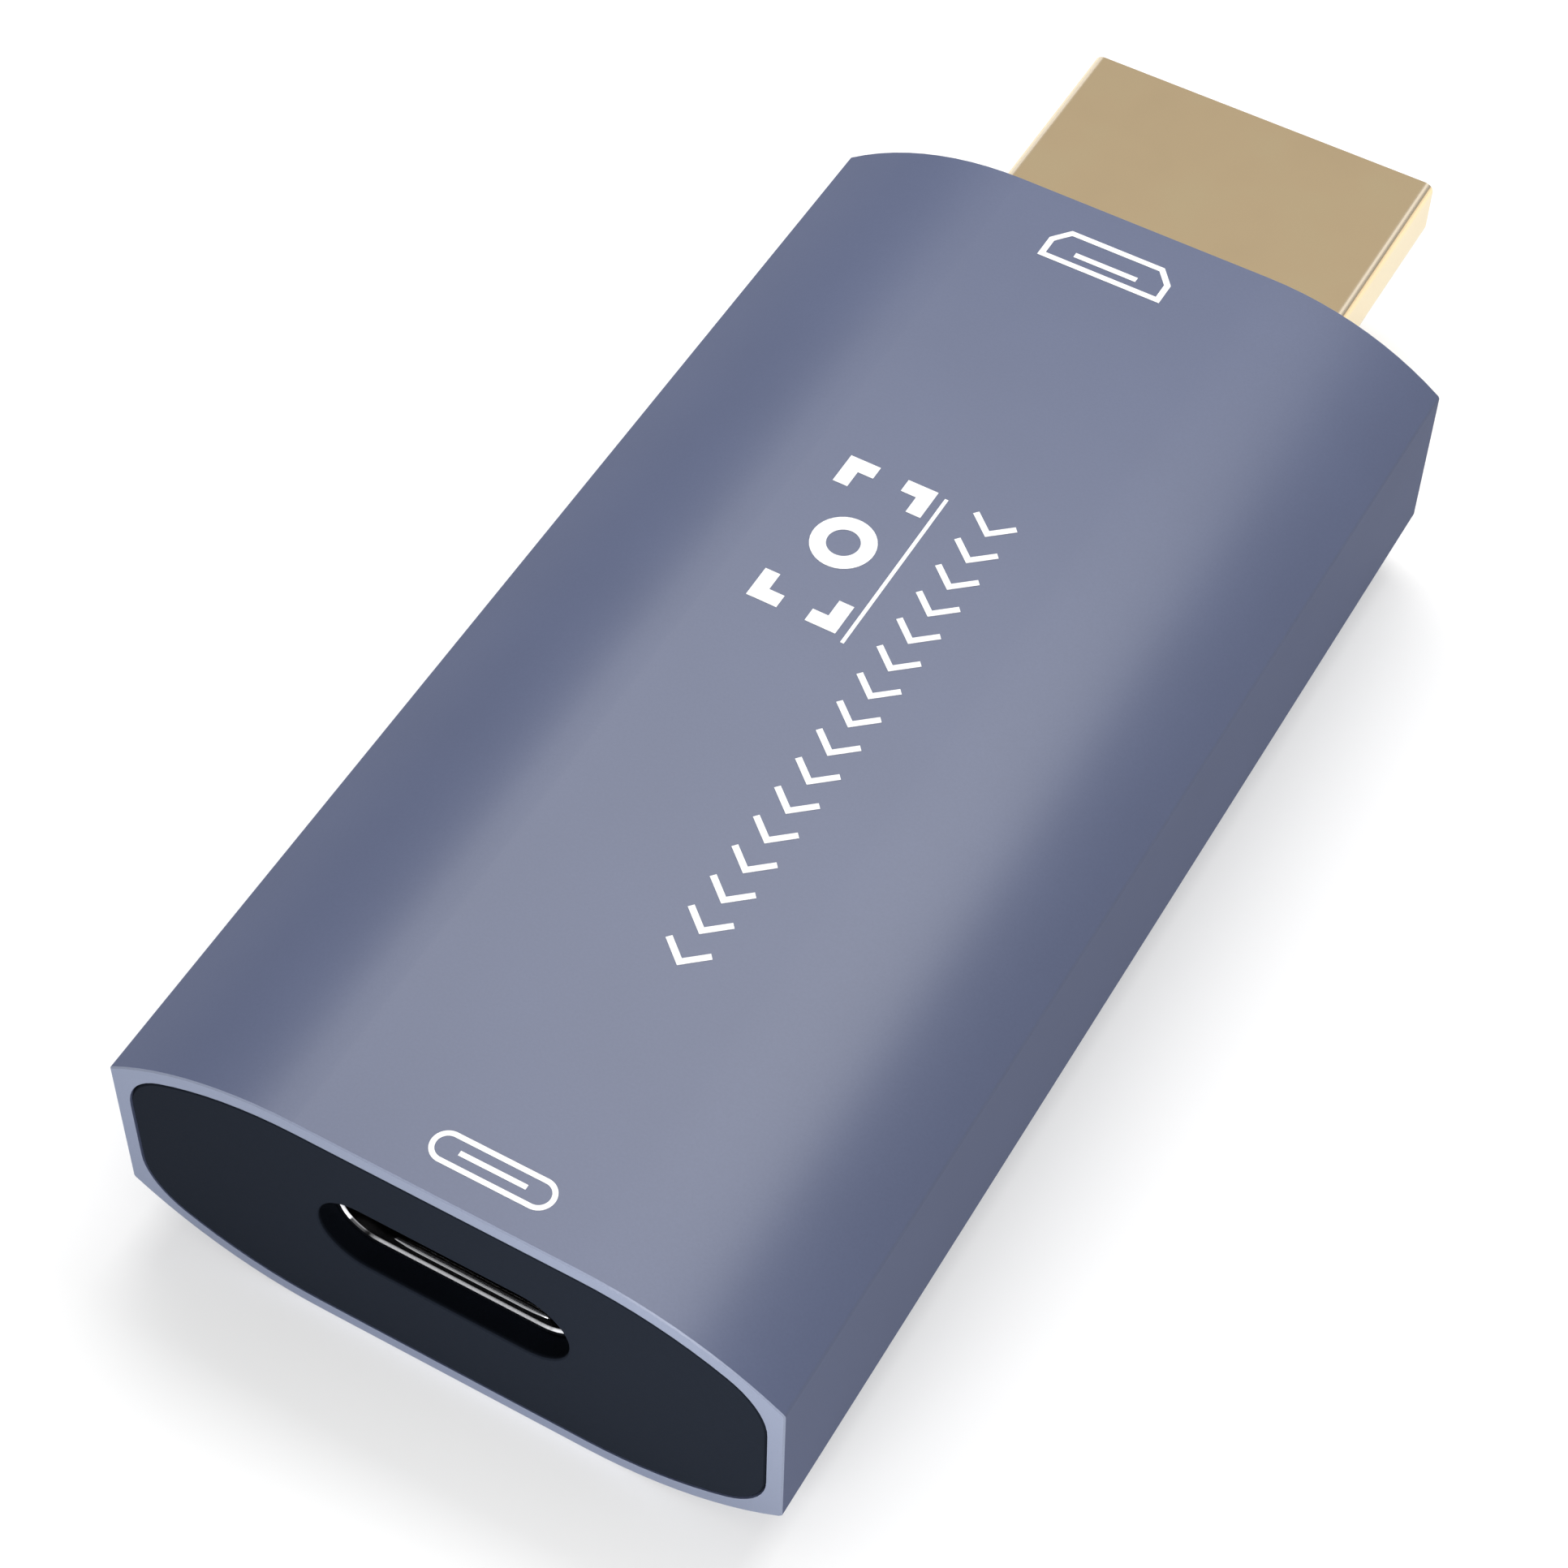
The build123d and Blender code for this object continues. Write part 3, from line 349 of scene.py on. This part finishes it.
# Sizes and colours that a user would change
class StickFinishes(bpy.types.PropertyGroup):
    """Colours of the stick's visible surfaces."""

    anodised_colour: FloatVectorProperty(
        name="Anodised colour", description="Colour of the sleeve's anodised skin",
        subtype="COLOR", size=3, default=(0.141, 0.167, 0.271),
    )
    grazing_colour: FloatVectorProperty(
        name="Grazing colour", description="Tint of the sleeve's skin where it is seen at a slant",
        subtype="COLOR", size=3, default=(0.1, 0.15, 0.3),
    )
    rim_colour: FloatVectorProperty(
        name="Rim colour", description="Colour of the sleeve's sawn rims",
        subtype="COLOR", size=3, default=(0.335, 0.372, 0.484),
    )
    cap_colour: FloatVectorProperty(
        name="Cap colour", description="Colour of the plastic end caps",
        subtype="COLOR", size=3, default=(0.0145, 0.0185, 0.0275),
    )
    gilt_colour: FloatVectorProperty(
        name="Gilt colour", description="Colour of the video plug's shell",
        subtype="COLOR", size=3, default=(1.0, 0.765, 0.465),
    )
    gilt_edge_colour: FloatVectorProperty(
        name="Gilt edge colour", description="Tint of the gilt shell where it is seen at a slant",
        subtype="COLOR", size=3, default=(0.80, 0.85, 0.85),
    )
    # Painted highlight: the gilt shell's folded edges are drawn in this lighter colour
    bend_highlight_and_shade: FloatVectorProperty(
        name="Bend colour", description="Colour of the gilt shell's burnished bends",
        subtype="COLOR", size=3, default=(1.0, 0.86, 0.66),
    )
    steel_colour: FloatVectorProperty(
        name="Steel colour", description="Colour of the data socket's plated steel",
        subtype="COLOR", size=3, default=(0.72, 0.73, 0.76),
    )
    lip_colour: FloatVectorProperty(
        name="Lip colour", description="Colour of the data socket's bright lip",
        subtype="COLOR", size=3, default=(0.95, 0.96, 1.0),
    )
    ink_colour: FloatVectorProperty(
        name="Ink colour", description="Colour of the printed marks",
        subtype="COLOR", size=3, default=(0.9, 0.9, 0.9),
    )


class StickSocket(bpy.types.PropertyGroup):
    """Sizes of the bead that stiffens the data socket's mouth."""

    floor_level: FloatProperty(
        name="Floor level", description="Thickness of the shell under its floor",
        unit="LENGTH", default=0.3 * MM,
    )
    bead_depth: FloatProperty(
        name="Bead depth", description="From the lip to the bead's middle",
        unit="LENGTH", default=0.34 * MM,
    )
    bead_width: FloatProperty(
        name="Bead width", description="Width of the bead at its foot",
        unit="LENGTH", default=0.27 * MM,
    )
    bead_height: FloatProperty(
        name="Bead height", description="Rise of the bead over the floor",
        unit="LENGTH", default=0.07 * MM,
    )
    bead_length: FloatProperty(
        name="Bead length", description="Length of the bead across the mouth",
        unit="LENGTH", default=6.0 * MM,
    )
    bead_shift: FloatProperty(
        name="Bead shift", description="How far the bead's middle lies to the right",
        unit="LENGTH", default=0.22 * MM,
    )


class StickMarks(bpy.types.PropertyGroup):
    """Sizes of the marks that are printed on the crown."""

    ink_height: FloatProperty(
        name="Ink height", description="How far the print stands above the crown",
        unit="LENGTH", default=0.014 * MM,
    )
    fine_stroke: FloatProperty(
        name="Fine stroke", description="Width of the fine lines",
        unit="LENGTH", default=0.22 * MM,
    )
    bold_stroke: FloatProperty(
        name="Bold stroke", description="Width of the frame's and the ring's lines",
        unit="LENGTH", default=0.55 * MM,
    )
    chevron_count: IntProperty(
        name="Chevrons", description="Number of chevrons in the row", default=16, min=1, max=24,
    )


class StickStudio(bpy.types.PropertyGroup):
    """Camera and light."""

    eye: FloatVectorProperty(
        name="Eye", description="Where the camera stands",
        subtype="TRANSLATION", unit="LENGTH", size=3, default=(0.035934, -0.073894, 0.105481),
    )
    aim: FloatVectorProperty(
        name="Aim", description="The point that the camera looks at",
        subtype="TRANSLATION", unit="LENGTH", size=3, default=(-0.000651, -0.006589, 0.0054),
    )
    roll: FloatProperty(
        name="Roll", description="Turn of the camera about its own view",
        subtype="ANGLE", unit="ROTATION", default=math.radians(1.526),
    )
    focal_share: FloatProperty(
        name="Focal share", description="Focal length as a share of the picture's side",
        default=PHOTO_FOCAL / PHOTO_SIDE,
    )
    sensor_side: FloatProperty(
        name="Sensor side", description="Side of the camera's sensor, in millimetres",
        unit="CAMERA", default=36.0,
    )
    horizon_level: FloatProperty(
        name="Horizon level", description="Brightness of the dome at the horizon",
        default=0.15, min=0.0,
    )
    dome_rise: FloatProperty(
        name="Dome rise", description="Brightness that the dome gains from the horizon to the top",
        default=0.5, min=0.0,
    )
    overhead_level: FloatProperty(
        name="Overhead level", description="Brightness of the overhead lamp's face",
        default=5.4, min=0.0,
    )
    front_level: FloatProperty(
        name="Front level", description="Brightness of the small front lamp's face",
        default=5.5, min=0.0,
    )
    edge_level: FloatProperty(
        name="Edge level", description="Brightness of the lamps that light only the plug's shell",
        default=0.55, min=0.0,
    )
    lip_level: FloatProperty(
        name="Lip level", description="Brightness of the lamp that lights only the socket's shell",
        default=0.5, min=0.0,
    )
    floor_grey: FloatProperty(
        name="Floor grey", description="How much light the floor sends back",
        subtype="FACTOR", default=0.6, min=0.0, max=1.0,
    )


class STICK_OT_sleeve(bpy.types.Operator):
    """Finish the anodised sleeve"""

    bl_idname = "stick.sleeve"
    bl_label = "Sleeve"

    def execute(self, context):
        paint(anodised_metal(context.scene.stick_finishes), "housing_sleeve")
        return {"FINISHED"}


class STICK_OT_caps(bpy.types.Operator):
    """Finish the two end caps"""

    bl_idname = "stick.caps"
    bl_label = "End caps"

    def execute(self, context):
        paint(cap_plastic(context.scene.stick_finishes), "output_end_cap", "input_end_cap")
        return {"FINISHED"}


class STICK_OT_video_plug(bpy.types.Operator):
    """Finish the video plug"""

    bl_idname = "stick.video_plug"
    bl_label = "Video plug"

    def execute(self, context):
        finishes = context.scene.stick_finishes
        # The gilt shell's folded edges carry a painted highlight
        gilt = plated_sheet(
            "gilt shell", finishes.gilt_colour, 0.16, LINES_ALONG,
            finishes.gilt_edge_colour, finishes.bend_highlight_and_shade,
        )
        paint(gilt, "video_plug_shell")
        paint(moulding("plug insulator", PLUG_PLASTIC, 0.5), "video_plug_insulator")
        paint(
            plated_sheet("gilt contact", CONTACT_GILT, 0.25, LINES_ALONG),
            "video_plug_contacts_upper", "video_plug_contacts_lower",
        )
        return {"FINISHED"}


def mouth_bead(bm, settings):
    """A low rib across the shell's floor that runs out to nothing at its two ends."""
    steps_along, steps_across = 16, 8
    full_share = 0.7
    middle_y = socket_low.y + settings.bead_depth
    floor_z = socket_low.z + settings.floor_level
    sunk = settings.floor_level / 3
    bmesh.ops.create_grid(bm, x_segments=steps_along, y_segments=steps_across, size=0.5)
    for corner in bm.verts:
        along, across = abs(corner.co.x) * 2, corner.co.y * 2
        run_out = max(along - full_share, 0) / (1 - full_share)
        swell = math.sqrt(max(1 - run_out, 0))
        corner.co.z = math.sqrt(max(1 - across**2, 0)) * swell
        corner.co.y *= swell
    rim = [edge for edge in bm.edges if edge.is_boundary]
    bmesh.ops.scale(
        bm, verts=bm.verts[:],
        vec=(settings.bead_length, settings.bead_width, settings.bead_height),
    )
    bmesh.ops.translate(bm, verts=bm.verts[:], vec=(settings.bead_shift, middle_y, floor_z))
    skirt = bmesh.ops.extrude_edge_only(bm, edges=rim)["geom"]
    feet = [item for item in skirt if isinstance(item, bmesh.types.BMVert)]
    bmesh.ops.translate(bm, verts=feet, vec=(0, 0, -sunk))
    bmesh.ops.holes_fill(bm, edges=[edge for edge in bm.edges if edge.is_boundary])
    bmesh.ops.remove_doubles(bm, verts=bm.verts[:], dist=0.002 * MM)
    bmesh.ops.recalc_face_normals(bm, faces=bm.faces[:])
    for face in bm.faces:
        face.smooth = face.normal.z > 0


class STICK_OT_data_socket(bpy.types.Operator):
    """Finish the data socket and raise the bead in its mouth"""

    bl_idname = "stick.data_socket"
    bl_label = "Data socket"

    def execute(self, context):
        finishes, sizes = context.scene.stick_finishes, context.scene.stick_socket
        steel = plated_sheet("nickel steel", finishes.steel_colour, 0.16, LINES_ALONG)
        # Painted shade: the bead gets a darker copy of the steel, seven tenths as bright, to dim
        # its reflection
        bead_shade_colour = shade(finishes.steel_colour, 0.7)
        paint(drawn_shell(finishes), "data_socket_shell")
        new_piece(
            "data_socket_mouth_bead", lambda bm: mouth_bead(bm, sizes),
            plated_sheet("shaded bead steel", bead_shade_colour, 0.2, LINES_ALONG),
        )
        paint(steel, "data_socket_mid_plate", "data_socket_ground_plates")
        paint(moulding("socket insulator", SOCKET_PLASTIC, 0.45), "data_socket_insulator")
        paint(
            plated_sheet("gilt tongue contact", CONTACT_GILT, 0.25, LINES_ALONG),
            "data_socket_contacts_upper", "data_socket_contacts_lower",
        )
        return {"FINISHED"}


class STICK_OT_board(bpy.types.Operator):
    """Finish the main board and what is soldered to it"""

    bl_idname = "stick.board"
    bl_label = "Board"

    def execute(self, context):
        paint(moulding("solder mask", SOLDER_MASK, 0.35), "main_board")
        paint(
            moulding("chip epoxy", CHIP_EPOXY, 0.55),
            "capture_chip", "memory_chip", "voltage_regulators", "surge_arrays", "resistor_bodies",
        )
        paint(
            plated_sheet("tinned lead", TIN, 0.3, NO_LINES),
            "capture_chip_leads", "memory_chip_leads", "voltage_regulator_leads",
            "surge_array_pads", "crystal_lid", "bulk_capacitor_ends", "ceramic_capacitor_ends",
            "resistor_ends", "ferrite_bead_ends",
        )
        paint(
            moulding("fired ceramic", FIRED_CERAMIC, 0.4),
            "crystal_base", "bulk_capacitor_bodies", "ceramic_capacitor_bodies",
        )
        paint(
            moulding("pressed ferrite", PRESSED_FERRITE, 0.6),
            "power_inductor_core", "ferrite_bead_bodies",
        )
        paint(
            plated_sheet("enamelled wire", ENAMELLED_WIRE, 0.3, LINES_UPRIGHT),
            "power_inductor_winding",
        )
        return {"FINISHED"}


# Marks on the crown: their points are millimetres across from the stick's middle and along from
# the output face
def draw_line(bm, points, closed=False):
    """Lines through a few points."""
    corners = [bm.verts.new((x * MM, output_y + y * MM, 0.0)) for x, y in points]
    pairs = list(zip(corners, corners[1:]))
    if closed:
        pairs.append((corners[-1], corners[0]))
    for pair in pairs:
        bm.edges.new(pair)


def draw_round(bm, middle, radius, stretch=0.0):
    """A ring, or with a stretch an oval of two half rings and two straights."""
    steps = 36
    turn = Matrix.Rotation(math.pi / steps, 4, "Z")
    ring = bmesh.ops.create_circle(bm, segments=steps, radius=radius * MM, matrix=turn)["verts"]
    for side in (-1, 1):
        half = [corner for corner in ring if corner.co.x * side > 0]
        bmesh.ops.translate(bm, verts=half, vec=(side * stretch * MM, 0, 0))
    bmesh.ops.translate(bm, verts=ring, vec=(middle[0] * MM, output_y + middle[1] * MM, 0.0))


def plug_mark(bm):
    """The outline of the video plug's mouth and its tongue, wide side to the stick's middle."""
    middle = -0.25
    half_width, half_foot, half_tongue = 2.25, 1.75, 1.2
    near, tongue, shoulder, far = 42.8, 43.3, 43.6, 44.2
    draw_line(bm, [
        (middle - half_width, near), (middle + half_width, near), (middle + half_width, shoulder),
        (middle + half_foot, far), (middle - half_foot, far), (middle - half_width, shoulder),
    ], closed=True)
    draw_line(bm, [(middle - half_tongue, tongue), (middle + half_tongue, tongue)])


def socket_mark(bm):
    """The outline of the data socket's mouth, with its tongue."""
    middle = (1.05, 1.6)
    radius, half_straight, half_tongue = 0.48, 1.55, 1.15
    draw_round(bm, middle, radius, half_straight)
    draw_line(bm, [(middle[0] - half_tongue, middle[1]), (middle[0] + half_tongue, middle[1])])


def frame_mark(bm):
    """Four corners of a picture frame round a ring."""
    left, right, near, far = -3.3, -0.55, 24.4, 30.85
    arm_across, arm_along, radius = 0.85, 1.0, 0.85
    for x, inward_x in ((left, 1), (right, -1)):
        for y, inward_y in ((near, 1), (far, -1)):
            draw_line(bm, [(x + inward_x * arm_across, y), (x, y), (x, y + inward_y * arm_along)])
    draw_round(bm, ((left + right) / 2, (near + far) / 2), radius)


def rule_mark(bm):
    """One thin line beside the frame."""
    across, near, far = 0.1, 23.9, 31.0
    draw_line(bm, [(across, near), (across, far)])


def chevron_mark(bm, count):
    """A row of chevrons that point from the video plug to the data socket."""
    left, right, near, far = 1.2, 2.7, 10.6, 31.0
    depth = 0.65
    pitch = (far - near - depth) / max(count - 1, 1)
    for index in range(count):
        tip = near + index * pitch
        draw_line(bm, [(left, tip + depth), ((left + right) / 2, tip), (right, tip + depth)])


def print_mark(name, draw, stroke, height, ink):
    """A mark whose lines are raised into low walls and then thickened to the stroke."""
    sunk = height / 2

    def raise_lines(bm):
        draw(bm)
        walls = bmesh.ops.extrude_edge_only(bm, edges=bm.edges[:])["geom"]
        tops = [item for item in walls if isinstance(item, bmesh.types.BMVert)]
        bmesh.ops.translate(bm, verts=tops, vec=(0, 0, height + sunk))
        bmesh.ops.recalc_face_normals(bm, faces=bm.faces[:])
        bmesh.ops.translate(bm, verts=bm.verts[:], vec=(0, 0, crown_z - sunk))

    piece = new_piece(name, raise_lines, ink)
    thicken = piece.modifiers.new("stroke", "SOLIDIFY")
    thicken.thickness = stroke
    thicken.offset = 0.0
    thicken.use_even_offset = True


class STICK_OT_marks(bpy.types.Operator):
    """Print the generic marks on the crown"""

    bl_idname = "stick.marks"
    bl_label = "Crown marks"

    def execute(self, context):
        sizes = context.scene.stick_marks
        ink = printed_ink(context.scene.stick_finishes)
        fine, bold, height = sizes.fine_stroke, sizes.bold_stroke, sizes.ink_height
        finer, finest = fine * 0.8, fine * 0.6
        print_mark("plug_mark", plug_mark, fine, height, ink)
        print_mark("socket_mark", socket_mark, finer, height, ink)
        print_mark("frame_mark", frame_mark, bold, height, ink)
        print_mark("rule_mark", rule_mark, finest, height, ink)
        print_mark(
            "chevron_mark", lambda bm: chevron_mark(bm, sizes.chevron_count), fine, height, ink
        )
        return {"FINISHED"}


def aim_at(holder, place, aim, roll=0.0):
    """Bring a camera or a lamp into the scene, at its place and turned to its aim."""
    bpy.context.scene.collection.objects.link(holder)
    gaze = Vector(aim) - Vector(place)
    turn = gaze.to_track_quat("-Z", "Y").to_matrix().to_4x4() @ Matrix.Rotation(roll, 4, "Z")
    holder.matrix_world = Matrix.Translation(place) @ turn


def set_camera(scene, studio):
    """The camera at the photograph's viewing angle."""
    camera = bpy.data.cameras.new("camera")
    camera.sensor_fit = "HORIZONTAL"
    camera.sensor_width = studio.sensor_side
    camera.lens = studio.focal_share * studio.sensor_side
    camera.clip_start = 0.005
    camera.clip_end = 10.0
    holder = bpy.data.objects.new("camera", camera)
    aim_at(holder, studio.eye, studio.aim, studio.roll)
    scene.camera = holder


def hang_lamp(name, place, aim, width, length, level):
    """A soft lamp whose face has a set brightness, out of the eye's sight."""
    light = bpy.data.lights.new(name, "AREA")
    light.shape = "RECTANGLE"
    light.size = width
    light.size_y = length
    light.energy = level * math.pi * width * length
    lamp = bpy.data.objects.new(name, light)
    aim_at(lamp, place, aim)
    lamp.visible_camera = False
    return lamp


def link_lamp(lamp, node_name, state):
    """Keep a lamp off one node, or keep it for that node alone.

    The overhead lamp would burn out the plug's mirror finish from above, so the plug has two of
    its own, which draw a bright line along each of its folded edges. A third brings out the lip
    of the data socket."""
    receivers = bpy.data.collections.new(lamp.name + " receivers")
    receivers.objects.link(nodes[node_name])
    receivers.collection_objects[0].light_linking.link_state = state
    lamp.light_linking.receiver_collection = receivers


def hang_lamps(studio):
    """The overhead lamp, the front lamp, and the small lamps for the plug and the socket."""
    overhead = hang_lamp(
        "overhead lamp", place=(-0.02, 0.095, 0.20), aim=(-0.02, 0.095, 0.0),
        width=0.22, length=0.13, level=studio.overhead_level,
    )
    link_lamp(overhead, "video_plug_shell", "EXCLUDE")
    for side, place in (("left", (-0.080, 0.106, 0.056)), ("right", (0.034, 0.106, 0.088))):
        edge = hang_lamp(
            side + " edge lamp", place, aim=plug_middle,
            width=0.045, length=0.045, level=studio.edge_level,
        )
        link_lamp(edge, "video_plug_shell", "INCLUDE")
    lip = hang_lamp(
        "lip lamp", place=(-0.031, -0.121, 0.024), aim=(0.0, socket_low.y, socket_low.z),
        width=0.05, length=0.035, level=studio.lip_level,
    )
    link_lamp(lip, "data_socket_shell", "INCLUDE")
    hang_lamp(
        "front lamp", place=(0.010, -0.055, 0.012), aim=(0.0, output_y, 0.005),
        width=0.016, length=0.03, level=studio.front_level,
    )


def seen_by_eye_or_gloss(tree):
    """One for camera, glossy and transmission rays, and nought for the rest."""
    rays = add_node(tree, "ShaderNodeLightPath").outputs
    shiny = join_math(tree, "MAXIMUM", rays["Is Glossy Ray"], rays["Is Transmission Ray"])
    return join_math(tree, "MAXIMUM", rays["Is Camera Ray"], shiny)


def set_world(scene, studio):
    """A dome that brightens upwards, with a white horizon for the eye and for reflections."""
    world = bpy.data.worlds.new("studio")
    world.use_nodes = True
    tree = world.node_tree
    place = add_node(tree, "ShaderNodeTexCoord")
    split = add_node(tree, "ShaderNodeSeparateXYZ", {"Vector": place.outputs["Generated"]})
    height = join_math(tree, "MAXIMUM", split.outputs["Z"], 0.0)
    rise = join_math(tree, "MULTIPLY", height, studio.dome_rise)
    dome = join_math(tree, "ADD", rise, studio.horizon_level)
    band_low, band_high = 0.2, 0.3
    band = add_node(tree, "ShaderNodeMapRange", {
        "Value": height, "From Min": band_low, "From Max": band_high, "To Min": 1.0, "To Max": 0.0,
    })
    white = join_math(tree, "MULTIPLY", band.outputs[0], seen_by_eye_or_gloss(tree))
    fill = tree.nodes["Background"]
    feed(tree, fill.inputs["Color"], WHITE)
    feed(tree, fill.inputs["Strength"], join_math(tree, "MAXIMUM", dome, white))
    scene.world = world


def lay_floor(studio):
    """A pale floor that shows white, but for the stick's soft shadow."""
    grey = studio.floor_grey
    material = bpy.data.materials.new("floor")
    material.use_nodes = True
    tree = material.node_tree
    tree.nodes.remove(tree.nodes["Principled BSDF"])
    matt = add_node(tree, "ShaderNodeBsdfDiffuse", {"Color": (grey, grey, grey, 1)})
    level = join_math(tree, "MULTIPLY", seen_by_eye_or_gloss(tree), 1 - grey)
    glow = add_node(tree, "ShaderNodeEmission", {"Color": WHITE, "Strength": level})
    both = add_node(tree, "ShaderNodeAddShader")
    for socket, shader in zip(both.inputs, (matt, glow)):
        feed(tree, socket, shader.outputs[0])
    feed(tree, tree.nodes["Material Output"].inputs["Surface"], both.outputs[0])
    half_side = 3.0
    floor = new_object(
        "floor",
        lambda bm: bmesh.ops.create_grid(bm, x_segments=1, y_segments=1, size=half_side),
        material,
    )


class STICK_OT_studio(bpy.types.Operator):
    """Set out the camera, the lamps, the floor and the background"""

    bl_idname = "stick.studio"
    bl_label = "Studio"

    def execute(self, context):
        scene, studio = context.scene, context.scene.stick_studio
        scene.view_settings.view_transform = "Standard"
        set_camera(scene, studio)
        set_world(scene, studio)
        lay_floor(studio)
        hang_lamps(studio)
        return {"FINISHED"}


operators = (
    STICK_OT_sleeve, STICK_OT_caps, STICK_OT_video_plug, STICK_OT_data_socket,
    STICK_OT_board, STICK_OT_marks, STICK_OT_studio,
)


class STICK_PT_panel(bpy.types.Panel):
    """The stick's operators and settings"""

    bl_idname = "STICK_PT_panel"
    bl_label = "Capture Stick"
    bl_space_type = "VIEW_3D"
    bl_region_type = "UI"
    bl_category = "Capture Stick"

    def draw(self, context):
        for operator in operators:
            self.layout.operator(operator.bl_idname)
        scene = context.scene
        groups = (scene.stick_finishes, scene.stick_socket, scene.stick_marks, scene.stick_studio)
        for group in groups:
            for name in group.bl_rna.properties.keys():
                if name not in {"rna_type", "name"}:
                    self.layout.prop(group, name)


classes = (StickFinishes, StickSocket, StickMarks, StickStudio, *operators, STICK_PT_panel)


def register():
    for cls in classes:
        bpy.utils.register_class(cls)
    bpy.types.Scene.stick_finishes = PointerProperty(type=StickFinishes)
    bpy.types.Scene.stick_socket = PointerProperty(type=StickSocket)
    bpy.types.Scene.stick_marks = PointerProperty(type=StickMarks)
    bpy.types.Scene.stick_studio = PointerProperty(type=StickStudio)


def unregister():
    del bpy.types.Scene.stick_studio
    del bpy.types.Scene.stick_marks
    del bpy.types.Scene.stick_socket
    del bpy.types.Scene.stick_finishes
    for cls in reversed(classes):
        bpy.utils.unregister_class(cls)


def main():
    register()
    for operator in operators:
        family, name = operator.bl_idname.split(".")
        getattr(getattr(bpy.ops, family), name)()


if __name__ == "__main__":
    main()
